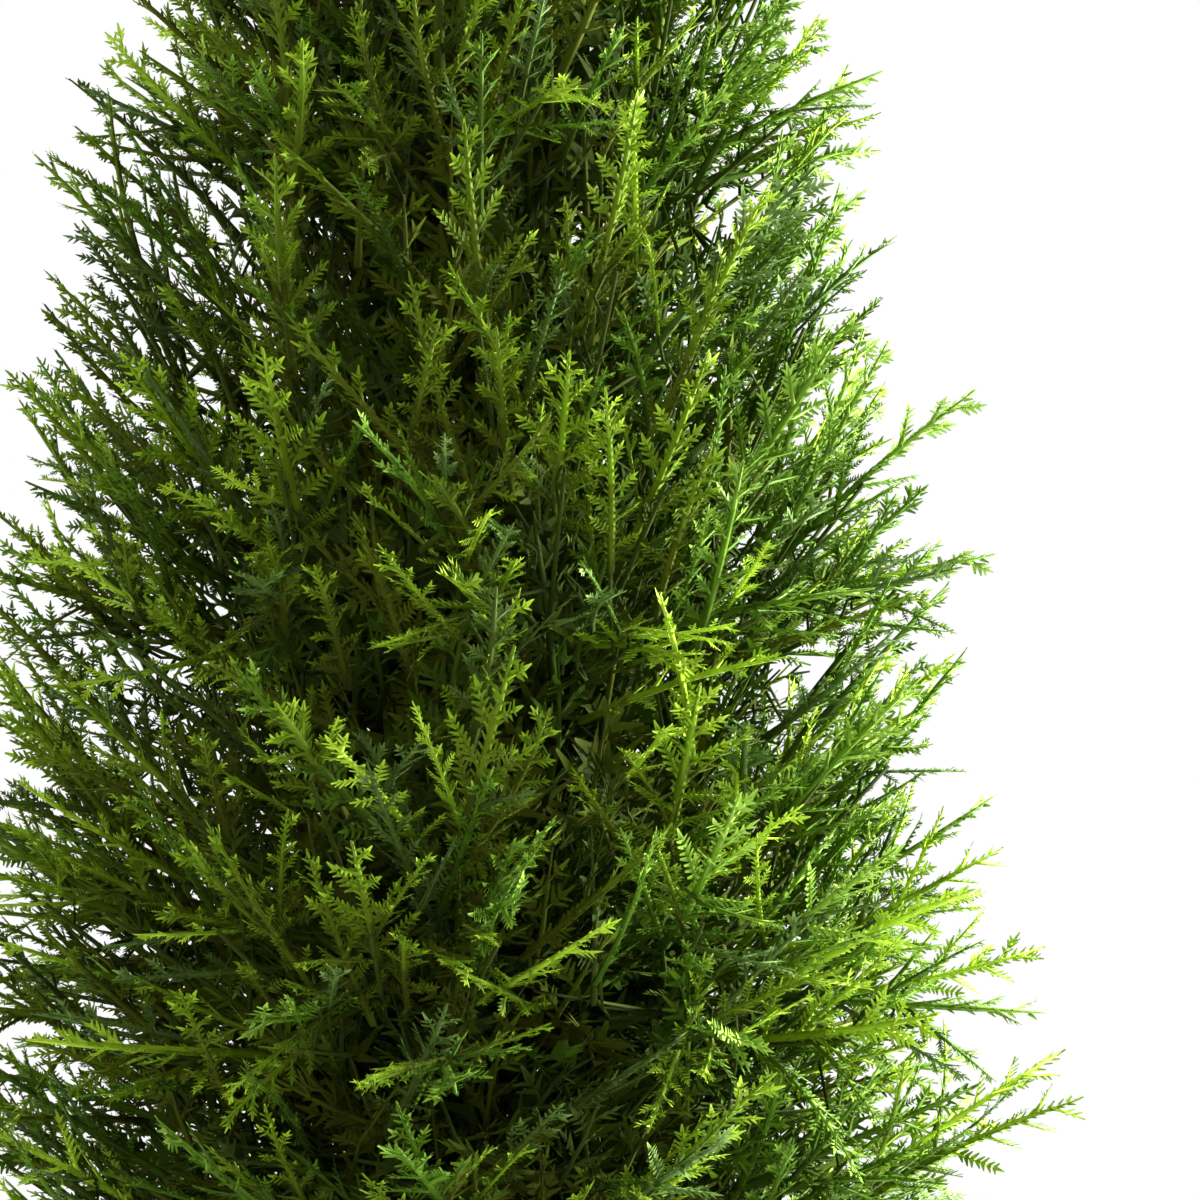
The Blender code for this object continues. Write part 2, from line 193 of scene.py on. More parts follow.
# A needle's width at its tip, as a share, how much of what it grows in length it widens, how its size
# and direction vary, its size at a side twig's root and how much less at its end, and how it leans:
# along the twig, aside and up on its sides, and along and up on top of it
NEEDLE_TIP, NEEDLE_WIDENS = 0.14, 0.6
NEEDLE_SIZES, NEEDLE_WOBBLE = (0.88, 1.12), 0.14
NEEDLE_LARGEST, NEEDLE_SHRINKS = 1.08, 0.34
SIDE_LEAN, TOP_LEAN = (0.66, 0.76, 0.22), (0.8, 0.6)

# Side twigs: where on the stem they begin and how much of it they take, at how many degrees they leave
# it, how much less at its tip, how far that varies, how far they roll and tilt, and what part is bare
TWIG_START, TWIG_SPAN = 0.10, 0.82
TWIG_ANGLE, TWIG_CLOSING, TWIG_VARIES = 50, 12, 7
TWIG_ROLL, TWIG_TILT = 42, 50
TWIG_BARE = 0.0035

# Needles along a sprig's own stem: where they begin, how much further apart they are, and their size
LOBE_START, LOBE_SPACING, LOBE_SIZE = 0.006, 1.5, 0.72

# How far a sprig rolls about its stem in degrees, and at most, how it bends sideways and up, how steep
# it is at most, and what share of sprigs look inwards
SPRIG_ROLL, MOST_ROLL = 30, 75.0
BEND_ASIDE, BEND_UP = (-1.4, 1.4), (-2.2, 0.8)
STEEPEST_SPRIG = math.radians(86)
INWARD_SHARE = 0.3

# The thin twig that carries a sprig: its radii, how far it goes on into the sprig, and how much the
# way that a limb lies from the sprig counts against how far it is
THIN_TWIG, TWIG_LAP, TWIG_SUITS = (0.0009, 0.0008, 0.0010), 0.004, 0.6

# A branch that stands out of the crown: how many pairs of sprigs are on its sides, how far at most its
# tip goes past that of the solids' spray, how many degrees it dips, the size of the sprig at its end,
# the degrees at which its side sprigs leave it, and their size at its root and how much less at its tip
BRANCH_PAIRS = 2
BRANCH_REACH = 0.011
BRANCH_DIP = 16
BRANCH_END_SIZE = (1.06, 1.26)
BRANCH_SPREAD = (26, 44)
SIDE_SIZE, SIDE_SHRINKS = 0.86, 0.44

# The cover between branches: how far out it reaches, as a share, below one height and above another,
# how much further on the tree's left side and over what width that comes in, how much and how closely
# it swells and sinks, and how much it rises round a branch, and over what distance
COVER_LOW = (0.48, 0.78)
COVER_HIGH = (0.66, 0.90)
COVER_LEFT, COVER_LEFT_WIDTH = 0.07, 0.15
COVER_SWELL, COVER_LUMPS = 0.11, 13.0
COVER_PEAK, COVER_PEAK_WIDTH = 0.05, 0.036

# The cover's sprigs, in degrees: how far they turn aside, how steep they are and how far that varies,
# then what share of the branch line's rise is added, and their size
COVER_TURN = 34
COVER_STEEP, COVER_VARIES, COVER_RISE = 17, (-18, 24), 0.55
COVER_SIZE = (0.82, 1.12)

# The layers behind the cover: their sprigs, how far apart, how far out, and their tone, darker as
# painted shade in the crown's depth, then in degrees how far they turn aside and how steep they are
# against the branch line, and their size
DEPTH_LAYERS = (
    ("inner", 0.88, (0.50, 0.76), -0.45),
    ("deep", 0.86, (0.24, 0.58), -0.9),
)
DEPTH_TURN, DEPTH_STEEP, DEPTH_SIZE = 35, (-15, 35), (0.7, 1.0)

# Sprigs under each of the lowest masses: how many, how far out, turned aside and how steep in degrees,
# and their size; and how many sprigs are in close whorls up the leader
UNDERSIDE_SPRIGS, UNDERSIDE_OUT = 12, (0.45, 0.85)
UNDERSIDE_TURN, UNDERSIDE_STEEP, UNDERSIDE_SIZE = 25, (-24, 4), (0.55, 0.8)
LEADER_SPRIGS = 46

# How finely the bark, the pot and its filling are modelled, at which heights the pot's wall has rings
# of points, and how many kinds of crumbs there are
TRUNK_SIDES, BOUGH_SIDES, BOUGH_RINGS = 44, 12, 16
POT_STEPS, FILL_STEPS, FILL_RINGS = 144, 120, 30
POT_RINGS = (0.052, 0.103)
CRUMB_KINDS = 4

# The stage's lights: where each stands and how wide it is, and the height that they look at
LIGHTS = {
    "key": ((1.95, 0.42, 1.25), 0.7),
    "back": ((0.9, 1.9, 1.9), 1.5),
    "left": ((-1.9, 0.3, 1.3), 0.7),
    "front": ((-0.5, -2.2, 1.7), 1.5),
}
LIT_HEIGHT = 0.72


# Shader nodes


class Value:
    """A socket that sums can be written with: each operator adds a Math node."""

    def __init__(self, finish, socket):
        self.finish, self.socket = finish, socket

    def math(self, operation, *others):
        inputs = dict(enumerate((self, *others)))
        return self.finish.node("ShaderNodeMath", {"operation": operation}, inputs)

    def __add__(self, other):
        return self.math("ADD", other)

    def __rsub__(self, other):
        return self.finish.node("ShaderNodeMath", {"operation": "SUBTRACT"}, {0: other, 1: self})

    def __mul__(self, other):
        return self.math("MULTIPLY", other)

    __radd__ = __add__
    __rmul__ = __mul__


class Finish:
    """A material with one Principled shader, built from few words."""

    def __init__(self, name, colour, roughness, gloss=0.5):
        self.material = bpy.data.materials.new(name)
        self.material.use_nodes = True
        self.tree = self.material.node_tree
        self.shader = self.tree.nodes["Principled BSDF"]
        self.shader.inputs["Base Color"].default_value = (*colour, 1)
        self.shader.inputs["Roughness"].default_value = roughness
        self.shader.inputs["Specular IOR Level"].default_value = gloss
        self.material.diffuse_color = (*colour, 1)

    def node(self, kind, settings=None, inputs=None, output=0):
        """Adds a node, sets it up, then gives its sockets values or links."""
        made = self.tree.nodes.new(kind)
        for name, value in (settings or {}).items():
            setattr(made, name, value)
        for key, value in (inputs or {}).items():
            self.give(made.inputs[key], value)
        return Value(self, made.outputs[output])

    def give(self, socket, value):
        if isinstance(value, Value):
            self.tree.links.new(value.socket, socket)
        elif isinstance(value, tuple) and len(value) == 3 and socket.type == "RGBA":
            socket.default_value = (*value, 1)
        else:
            socket.default_value = value

    def place(self, scale=(1, 1, 1)):
        """Where a point is on the object, stretched by the scale."""
        where = self.node("ShaderNodeTexCoord", output="Object")
        return self.node("ShaderNodeMapping", inputs={"Vector": where, "Scale": scale})

    def noise(self, scale, detail=4.0, stretch=(1, 1, 1), roughness=0.55):
        inputs = {
            "Vector": self.place(stretch),
            "Scale": scale,
            "Detail": detail,
            "Roughness": roughness,
        }
        return self.node("ShaderNodeTexNoise", inputs=inputs)

    def steps(self, value, low, high):
        """The value stretched so that low becomes 0 and high becomes 1."""
        inputs = {"Value": value, "From Min": low, "From Max": high}
        return self.node("ShaderNodeMapRange", inputs=inputs)

    def mix(self, factor, first, second):
        return self.node(
            "ShaderNodeMix",
            {"data_type": "RGBA"},
            {"Factor": factor, "A": first, "B": second},
            "Result",
        )

    def wear(self, colour=None, roughness=None, relief=None, depth=0.0005, strength=0.5):
        """Gives the shader what changes over the surface."""
        if colour is not None:
            self.give(self.shader.inputs["Base Color"], colour)
        if roughness is not None:
            self.give(self.shader.inputs["Roughness"], roughness)
        if relief is not None:
            inputs = {"Height": relief, "Strength": strength, "Distance": depth}
            self.give(self.shader.inputs["Normal"], self.node("ShaderNodeBump", inputs=inputs))
        return self.material


# Shapes as arrays


class Shape:
    """Triangles as arrays: points, three corners each, and each one's tone from shade 0 to tip 1."""

    def __init__(self, points, corners, tones):
        self.points, self.corners, self.tones = points, corners, tones

    @classmethod
    def read(cls, shape):
        """Takes the triangles of a bmesh, with no tone yet, and frees it."""
        bmesh.ops.triangulate(shape, faces=shape.faces)
        shape.verts.index_update()
        points = np.array([vert.co for vert in shape.verts])
        corners = np.array([[vert.index for vert in face.verts] for face in shape.faces])
        shape.free()
        return cls(points, corners, np.zeros(len(corners)))

    @classmethod
    def joined(cls, shapes):
        starts = np.cumsum([0] + [len(shape.points) for shape in shapes])
        return cls(
            np.concatenate([shape.points for shape in shapes]),
            np.concatenate([shape.corners + start for shape, start in zip(shapes, starts)]),
            np.concatenate([shape.tones for shape in shapes]),
        )

    def stamped(self, places, tones, bends=None):
        """Copies at each place, a 4 by 4 matrix, each bent sideways and up along X by its bend."""
        places = np.array(places)
        points = np.repeat(self.points[None], len(places), axis=0)
        if bends is not None:
            squares = points[:, :, 0] ** 2
            points[:, :, 1] += np.array(bends)[:, None, 0] * squares
            points[:, :, 2] += np.array(bends)[:, None, 1] * squares
        points = points @ places[:, :3, :3].transpose(0, 2, 1) + places[:, None, :3, 3]
        steps = np.arange(len(places)) * len(self.points)
        corners = self.corners + steps[:, None, None]
        tones = np.array(tones)[:, None] + self.tones
        return Shape(points.reshape(-1, 3), corners.reshape(-1, 3), tones.reshape(-1))


def set_at(origin, along, up, size=1.0, thick=None):
    """A place whose X runs along a direction and whose Z is as near to up as it can be."""
    thick = size if thick is None else thick
    along = along.normalized()
    side = up.cross(along).normalized()
    place = Matrix((along * size, side * thick, along.cross(side) * thick)).transposed().to_4x4()
    place.translation = origin
    return place


def tube(rings, sides, mapped):
    """A closed tube of unit rings, one for each step up Z, with every point then mapped."""
    shape = bmesh.new()
    bmesh.ops.create_circle(shape, segments=sides, radius=1)
    edges = list(shape.edges)
    for _ in range(rings - 1):
        grown = bmesh.ops.extrude_edge_only(shape, edges=edges)["geom"]
        edges = [part for part in grown if isinstance(part, bmesh.types.BMEdge)]
        points = [part for part in grown if isinstance(part, bmesh.types.BMVert)]
        bmesh.ops.translate(shape, verts=points, vec=(0, 0, 1))
    bmesh.ops.holes_fill(shape, edges=shape.edges, sides=sides)
    bmesh.ops.recalc_face_normals(shape, faces=shape.faces)
    for vert in shape.verts:
        vert.co = mapped(vert.co.copy())
    return shape


def limb_shape(centres, radii, sides, flatness=1.0, up=UP):
    """A closed tube through centres, with a radius at each, flattened towards up."""
    frames = []
    for k, centre in enumerate(centres):
        ahead = centres[min(k + 1, len(centres) - 1)] - centres[max(k - 1, 0)]
        frames.append(set_at(centre, ahead, up))

    def mapped(point):
        k = round(point.z)
        return frames[k] @ Vector((0, point.x * radii[k], point.y * radii[k] * flatness))

    return Shape.read(tube(len(centres), sides, mapped))


def tapered(first, last, steps):
    return [first + (last - first) * k / steps for k in range(steps + 1)]


def arc(start, bend, end, steps):
    """Points along the smooth curve from start to end that heads for the bend."""
    shares = [k / steps for k in range(steps + 1)]
    return [start.lerp(bend, share).lerp(bend.lerp(end, share), share) for share in shares]


# Pieces


def placed(name, data):
    """An object in the scene, of a mesh, a light or a camera."""
    made = bpy.data.objects.new(name, data)
    bpy.context.scene.collection.objects.link(made)
    return made


def piece_of(name, mesh, materials, slot, replaced):
    """Puts a mesh in the scene as a piece that stands for some of the solids."""
    for finish in materials:
        mesh.materials.append(finish)
    piece = placed(name, mesh)
    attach(piece, "root")
    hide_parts(*replaced)


def joined_piece(name, shapes, indices, materials, slot, replaced):
    """One piece of several shapes, each with the indices of its triangles' materials."""
    mesh = mesh_of_shape(name, Shape.joined(shapes), np.concatenate(indices))
    piece_of(name, mesh, materials, slot, replaced)


def mesh_of_shape(name, shape, indices):
    """A mesh of a shape's triangles, each with the index of its material."""
    mesh = bpy.data.meshes.new(name)
    count = len(shape.corners)
    mesh.vertices.add(len(shape.points))
    mesh.vertices.foreach_set("co", shape.points.astype(np.float32).ravel())
    mesh.loops.add(count * 3)
    mesh.loops.foreach_set("vertex_index", shape.corners.astype(np.int32).ravel())
    mesh.polygons.add(count)
    mesh.polygons.foreach_set("loop_start", np.arange(count, dtype=np.int32) * 3)
    mesh.polygons.foreach_set("material_index", indices.astype(np.int32))
    mesh.update(calc_edges=True)
    mesh.validate()
    return mesh


def plain_mesh(name, shape):
    """A mesh of a bmesh, which is freed."""
    mesh = bpy.data.meshes.new(name)
    shape.to_mesh(mesh)
    shape.free()
    return mesh


def mesh_of_bmesh(name, shape, smooth_below):
    """A mesh of a bmesh, faces out, smooth where its faces meet at less than an angle."""
    bmesh.ops.recalc_face_normals(shape, faces=shape.faces)
    mesh = plain_mesh(name, shape)
    mesh.shade_smooth()
    mesh.set_sharp_from_angle(angle=math.radians(smooth_below))
    return mesh


# Where things are in the crown, by the same rule as the solids


def crown_radius(height):
    """The radius of the crown's outline, out to its furthest tips."""
    if height < WIDEST_HEIGHT:
        share = (WIDEST_HEIGHT - height) / (WIDEST_HEIGHT - CROWN_FOOT)
        return WIDEST_RADIUS * math.sqrt(max(0.0, 1 - share * share))
    share = min(1.0, (height - WIDEST_HEIGHT) / (TREE_HEIGHT - WIDEST_HEIGHT))
    return WIDEST_RADIUS * (1 - share**CROWN_TAPER)


def rise(start):
    """How steeply the branch line that starts at this height goes up."""
    grown = 1 - math.exp(-max(0.0, start - LOWEST_LINE) / RISE_LENGTH)
    return LOWEST_RISE + (STEEPEST_RISE - LOWEST_RISE) * grown


def direction(turn, steep):
    level = math.cos(steep)
    return Vector((level * math.cos(turn), level * math.sin(turn), math.sin(steep)))


def angles_of(along):
    """The turn and the rise of a direction."""
    return math.atan2(along.y, along.x), math.asin(along.z)


def swing(chance, low, high):
    """An angle by chance between two that are in degrees."""
    return math.radians(chance.uniform(low, high))


def clamped(value):
    return max(0.0, min(1.0, value))


def line_length(start):
    """How far it is along a branch line to the crown's outline."""
    angle = rise(start)
    near, far = 0.0, 2 * WIDEST_RADIUS
    for _ in range(30):
        middle = (near + far) / 2
        if middle * math.cos(angle) < crown_radius(start + middle * math.sin(angle)):
            near = middle
        else:
            far = middle
    return near


class Space:
    """The part of the crown that one mass of foliage keeps to."""

    def __init__(self, low, high, turn, spread):
        self.low, self.high = low, high
        self.turn, self.spread = turn, spread
        self.middle = (low + high) / 2

    def line(self, across, up):
        """The start and the turn of the branch line at a place across and up the space."""
        start = self.middle + up * (self.high - self.low) / 2
        return start, self.turn + across * self.spread / 2

    def at(self, across, up, share):
        start, turn = self.line(across, up)
        return Vector((0, 0, start)) + direction(turn, rise(start)) * share * line_length(start)


class Mass:
    """One mass of foliage: its tier, number, space, counts of large sprays and seed."""

    def __init__(self, tier, number, space, counts, seed):
        self.tier, self.number, self.space = tier, number, space
        self.counts, self.seed = counts, seed


def masses():
    """Every mass but the top one, in the solids' order."""
    made = []
    tops = [tier[0] for tier in list(TIERS.values())[1:]] + [CROWN_TOP_LINE]
    for (tier, (low, count, first, counts)), high in zip(TIERS.items(), tops):
        spread = 2 * math.pi / count
        for k in range(count):
            space = Space(low, high, math.radians(first) + spread * k, spread)
            made.append(Mass(tier, k + 1, space, counts, len(made) + 1))
    return made


def trunk_axis(height):
    share = (height - FILL_TOP) / (TRUNK_TOP - FILL_TOP)
    lean = TRUNK_LEAN * share**2 - TRUNK_SWAY * math.sin(7.0 * share)
    return Vector((lean, TRUNK_SWAY * math.sin(5.0 * share), height))


def trunk_radius(height):
    share = (height - FILL_TOP) / (TRUNK_TOP - FILL_TOP)
    radius = TRUNK_FOOT_RADIUS + (TRUNK_TIP_RADIUS - TRUNK_FOOT_RADIUS) * share
    return radius + TRUNK_FLARE * math.exp(-(height - FILL_TOP) / TRUNK_FLARE_HEIGHT * 2.5)


class Spray:
    """A large spray of the solids: its axis, and the place of its tip on its mass."""

    def __init__(self, root, tip, across=0.0, up=0.0):
        self.root, self.tip = root, tip
        self.across, self.up = across, up

    def at(self, share):
        return self.root.lerp(self.tip, share)

    def angles(self):
        return angles_of((self.tip - self.root).normalized())


def large_sprays(mass):
    """The solids' large sprays, from the same chance, which first shapes the mass's core."""
    chance = random.Random(mass.seed)
    for _ in range(CORE_POINTS):
        chance.random()
    made = []
    for (row_height, lift), count in zip(SPRAY_ROWS, mass.counts):
        for k in range(count):
            across = (2 * k + 1 - count) / count + chance.uniform(-SPRAY_JITTER, SPRAY_JITTER)
            up = row_height + chance.uniform(-SPRAY_JITTER, SPRAY_JITTER)
            tip = mass.space.at(across, up, chance.uniform(*SPRAY_REACH))
            root_up = up * SPRAY_ROOT_SPREAD - lift
            root = mass.space.at(across * SPRAY_ROOT_SPREAD, root_up, SPRAY_ROOT)
            chance.uniform(*SPRAY_ROLL)
            chance.uniform(-SPRAY_BEND, SPRAY_BEND)
            made.append(Spray(root, tip, across, up))
    return made


def leader_sprays(seed):
    """The solids' large sprays round the leader, with the upright one at its tip last."""
    chance = random.Random(seed)
    made = []
    foot = trunk_axis(TRUNK_TOP)
    for height, count, angle, length in LEADER_WHORLS:
        for _ in range(count):
            turn = math.radians(LEADER_TURN * len(made) + chance.uniform(-10, 10))
            steep = math.radians(angle + chance.uniform(-4, 4))
            root = Vector((foot.x, foot.y, height + chance.uniform(0, 0.012)))
            chance.uniform(-40, 40)
            made.append(Spray(root, root + direction(turn, steep) * length))
    top = Vector((foot.x * 0.5, foot.y * 0.5, TREE_HEIGHT))
    made.append(Spray(Vector((foot.x, foot.y, TREE_HEIGHT - 0.13)), top))
    return made


# Sprigs


def needle(length, width):
    """A needle along X: a flat thorn, wide at its root, with a blunt tip and a slight twist."""
    shape = bmesh.new()
    bmesh.ops.create_grid(shape, x_segments=1, y_segments=1, size=1)
    for vert in shape.verts:
        x, y, _ = vert.co
        half = width * (0.5 if x < 0 else NEEDLE_TIP)
        vert.co = (length if x > 0 else 0, y * half, x * y * width * 0.06)
    return Shape.read(shape)


def twig_axis():
    """A three-sided spike along X, one long, with a radius of one at its root."""
    shape = bmesh.new()
    bmesh.ops.create_cone(shape, cap_ends=False, segments=3, radius1=1, radius2=0, depth=1)
    bmesh.ops.remove_doubles(shape, verts=shape.verts, dist=1e-5)
    for vert in shape.verts:
        x, y, z = vert.co
        vert.co = (z + 0.5, x, y)
    return Shape.read(shape)


class Pattern:
    """A moulded sprig along X, as two shapes: its needles, and its stem with its side twigs."""

    def __init__(self, seed, sprigs, grown, spaced, fewer, longer):
        self.chance = random.Random(seed)
        self.length = sprigs.length
        self.coarse = grown > 1
        self.gap = sprigs.needle_gap * spaced
        self.longest = sprigs.longest_twig * longer
        self.places, self.tones = [], []
        self.twigs, self.twig_tones = [], []
        half_width = sprigs.stem_width / 2
        count = round(sprigs.side_twigs * fewer)
        for k in range(count):
            self.add_twig(k % 2 * 2 - 1, (k + 0.5) / count, sprigs)
        if not self.coarse:
            self.add_lobes(half_width)
        width = sprigs.needle_width * (1 + (grown - 1) * NEEDLE_WIDENS)
        finger = needle(sprigs.needle_length * grown, width)
        self.needles = finger.stamped(self.places, self.tones)
        stem = self.stem(half_width)
        self.stems = Shape.joined([stem, twig_axis().stamped(self.twigs, self.twig_tones)])

    def add_needle(self, root, along, up, size, tone):
        chance = self.chance
        wobble = Vector([chance.uniform(-NEEDLE_WOBBLE, NEEDLE_WOBBLE) for _ in range(3)])
        size *= chance.uniform(*NEEDLE_SIZES)
        self.places.append(set_at(root, along + wobble, up, size))
        self.tones.append(tone + chance.uniform(-0.05, 0.05))

    def stem_radius(self, share, half_width):
        return half_width * (1 - 0.5 * share)

    def stem(self, half_width):
        """The flat main stem, darkest at its root."""
        shares = (0, 0.4, 1) if self.coarse else (0, 0.25, 0.5, 0.75, 1)
        centres = [Vector((share * self.length, 0, 0)) for share in shares]
        radii = [self.stem_radius(share, half_width) for share in shares]
        radii[-1] *= 0.4
        made = limb_shape(centres, radii, 4, 0.8)
        middles = made.points[made.corners].mean(axis=1)
        made.tones += 0.55 * middles[:, 0] / self.length
        return made

    def add_lobes(self, half_width):
        """Short needles along both edges of the main stem and on top of it, and one at its end."""
        at, over = LOBE_START, False
        while at < self.length - 0.004:
            share = at / self.length
            edge = self.stem_radius(share, half_width) * 0.7
            size, tone = LOBE_SIZE + 0.12 * share, STEM_TONE * share
            for hand in (1, -1):
                along = Vector((1, hand * self.chance.uniform(0.7, 1.0), 0.2))
                self.add_needle(Vector((at, hand * edge, 0)), along, UP, size, tone)
            if over:
                along = Vector((1, self.chance.uniform(-0.3, 0.3), 0.8))
                root = Vector((at, 0, edge * 0.6))
                self.add_needle(root, along, Vector((0, 1, 0.4)), size, tone + 0.05)
            at, over = at + self.gap * LOBE_SPACING, not over
        end = Vector((self.length - 0.003, 0, 0))
        self.add_needle(end, Vector((1, 0, 0)), UP, 1.0, STEM_TONE + 0.05)

    def add_twig(self, hand, share, sprigs):
        """A side twig, partly turned round the stem, with needles on its sides, top and end."""
        chance = self.chance
        root = Vector((self.length * (TWIG_START + TWIG_SPAN * share), 0, 0))
        length = self.longest + (sprigs.shortest_twig - self.longest) * share
        length *= chance.uniform(0.82, 1.15)
        turn = TWIG_ANGLE - TWIG_CLOSING * share + chance.uniform(-TWIG_VARIES, TWIG_VARIES)
        turn = math.radians(turn)
        roll, tilt = (swing(chance, -limit, limit) for limit in (TWIG_ROLL, TWIG_TILT))
        aside = Vector((0, hand * math.cos(roll), math.sin(roll)))
        along = Vector((math.cos(turn), 0, 0)) + aside * math.sin(turn)
        up = Vector((0, math.sin(tilt), math.cos(tilt)))
        side = up.cross(along).normalized()
        over = along.cross(side)
        steps = max(1, round((length - TWIG_BARE) / self.gap))
        start = STEM_TONE * root.x / self.length
        ahead, sideways, upward = SIDE_LEAN
        on_top = along * TOP_LEAN[0] + over * TOP_LEAN[1]
        for j in range(steps):
            out = (j + 0.4) / steps
            at = root + along * (TWIG_BARE + (length - TWIG_BARE) * out)
            tone = start + TWIG_TONE * out
            size = NEEDLE_LARGEST - NEEDLE_SHRINKS * out
            for edge in (1, -1):
                heading = along * ahead + side * edge * sideways + over * upward
                self.add_needle(at, heading, over, size, tone)
            if j % 2 and not self.coarse:
                self.add_needle(at, on_top, over, size * 0.8, tone + 0.06)
        self.add_needle(root + along * length * 0.94, along, over, 1.0, start + 0.34)
        self.twigs.append(set_at(root, along, up, length * 1.15, sprigs.twig_width / 2))
        self.twig_tones.append(start + 0.10)


class Growth:
    """The sprigs, twigs and limbs of one mass, gathered before they are joined."""

    def __init__(self, seed, patterns, sprigs):
        self.chance = random.Random(1000 + seed)
        self.noise = np.random.default_rng(1000 + seed)
        self.patterns, self.sprigs = patterns, sprigs
        self.grown = {key: [] for key in patterns}
        self.limbs = []
        self.joints = []

    def add_limb(self, points, first, last, sides):
        """A bare limb through points, which sprigs can grow from."""
        radii = tapered(first, last, len(points) - 1)
        self.limbs.append(limb_shape(points, radii, sides))
        for before, after in zip(points, points[1:]):
            self.joints += [before, before.lerp(after, 0.5)]

    def add_sprig(self, tip, along, outward, size, tone, kind="outer"):
        """A sprig that ends at a tip, on a thin twig from the nearest limb that suits it."""
        chance = self.chance
        root = tip - along * self.sprigs.length * size
        roll = math.radians(max(-MOST_ROLL, min(MOST_ROLL, chance.gauss(0, SPRIG_ROLL))))
        up = outward * math.cos(roll) + along.cross(outward) * math.sin(roll)
        place = set_at(root, along, up, size)
        key = (kind, chance.randrange(PATTERNS[kind][0]))
        # How far into the tree's right side: painted light there makes sprigs paler and greener
        right = clamped((tip.x - PAINTED_LIGHT_FROM) / PAINTED_LIGHT_WIDTH)
        tone += RIGHT_PAINTED_LIGHT * right - FRONT_TONE
        drawn = chance.random()
        yellow = self.sprigs.yellow_share * (1 - PAINTED_LIGHT_FEWER_YELLOW * right)
        blue = self.sprigs.blue_share * (1 - PAINTED_LIGHT_FEWER_BLUE * right)
        family = 0 if drawn < yellow else 2 if drawn > 1 - blue else 1
        if drawn < YOUNG_SHARE and kind in ("end", "outer"):
            tone += YOUNG_TONE
        bend = (chance.uniform(*BEND_ASIDE), chance.uniform(*BEND_UP))
        self.grown[key].append((place, tone, bend, family))
        ways = [root - joint for joint in self.joints]
        way = min(ways, key=lambda way: way.length - TWIG_SUITS * way.dot(along))
        if way.length > TWIG_LAP:
            bend, end = root - along * way.length * 0.45, root + along * TWIG_LAP
            joint = self.joints[ways.index(way)]
            self.limbs.append(limb_shape(arc(joint, bend, end, 2), THIN_TWIG, 3))

    def pieces(self, name, slot, replaced, finishes):
        """Joins the needles into one piece, and the stems, twigs and limbs into another."""
        needles, twigs = ([], []), ([], [])
        for key, grown in self.grown.items():
            if not grown:
                continue
            places, tones, bends, families = zip(*grown)
            pattern = self.patterns[key]
            for source, (shapes, tints) in ((pattern.needles, needles), (pattern.stems, twigs)):
                shape = source.stamped(places, tones, bends)
                shapes.append(shape)
                tints.append(self.tints(shape, np.repeat(families, len(source.corners))))
        for limb in self.limbs:
            twigs[0].append(limb)
            twigs[1].append(np.full(len(limb.corners), 3 * TINTS))
        joined_piece(name + "_needles", *needles, finishes[:-1], slot, replaced)
        joined_piece(name + "_twigs", *twigs, finishes, slot, replaced)

    def tints(self, shape, families):
        """The index of each face's tint, from its tone and its family of green."""
        tones = shape.tones + self.noise.uniform(-0.06, 0.06, len(shape.tones))
        return families * TINTS + np.clip((tones * TINTS).astype(int), 0, TINTS - 1)


def sprig_patterns(sprigs):
    """Every moulded sprig, by its kind and number."""
    return {
        (kind, k): Pattern(f"{kind} {k}", sprigs, *changes)
        for kind, (count, *changes) in PATTERNS.items()
        for k in range(count)
    }


def face_places(space, gap, chance):
    """Places spread evenly over the outer face of a mass's space, one near each knot of a grid."""
    rows = max(2, round((space.at(0, 1, 1) - space.at(0, -1, 1)).length / gap))
    for row in range(rows):
        edge = space.at(0, (2 * row + 1) / rows - 1, 1)
        columns = max(1, round(math.hypot(edge.x, edge.y) * space.spread / gap))
        for column in range(columns):
            across = 2 * (column + chance.uniform(0.08, 0.92)) / columns - 1
            yield across, 2 * (row + chance.uniform(0.08, 0.92)) / rows - 1


def grow_mass(mass, patterns, sprigs):
    """Grows a mass's limbs on from its bough, then its sprigs out to the crown's outline."""
    growth = Growth(mass.seed, patterns, sprigs)
    sprays = large_sprays(mass)
    add_side_limbs(growth, mass.space, sprays)
    for spray in sprays:
        add_branch(growth, spray)
    add_cover(growth, mass.space, sprays)
    add_depth(growth, mass.space)
    if mass.tier == "skirt":
        add_underside(growth, mass.space)
    name = f"{mass.tier}_{mass.number}"
    node = f"{mass.tier}_foliage_{mass.number}"
    growth.pieces(name, GREEN_SLOTS[mass.seed % 3], [node], leaf_finishes())


def add_side_limbs(growth, space, sprays):
    """The stem that goes on from the bough, and the limb of each large spray that leaves it."""
    line = direction(space.turn, rise(space.middle))
    stem = [space.at(0, 0, BOUGH_END + (STEM_END - BOUGH_END) * k / 4) for k in range(5)]
    growth.add_limb(stem, BOUGH_TIP_RADIUS, STEM_TIP_RADIUS, 7)
    for spray in sprays:
        share = BOUGH_END + (STEM_END - BOUGH_END) * growth.chance.uniform(0.05, 0.95)
        start = space.at(0, 0, share)
        points = arc(start, start + line * (spray.root - start).length / 2, spray.root, 3)
        growth.add_limb(points + [spray.at(0.3), spray.at(0.6)], 0.0017, 0.0009, 5)


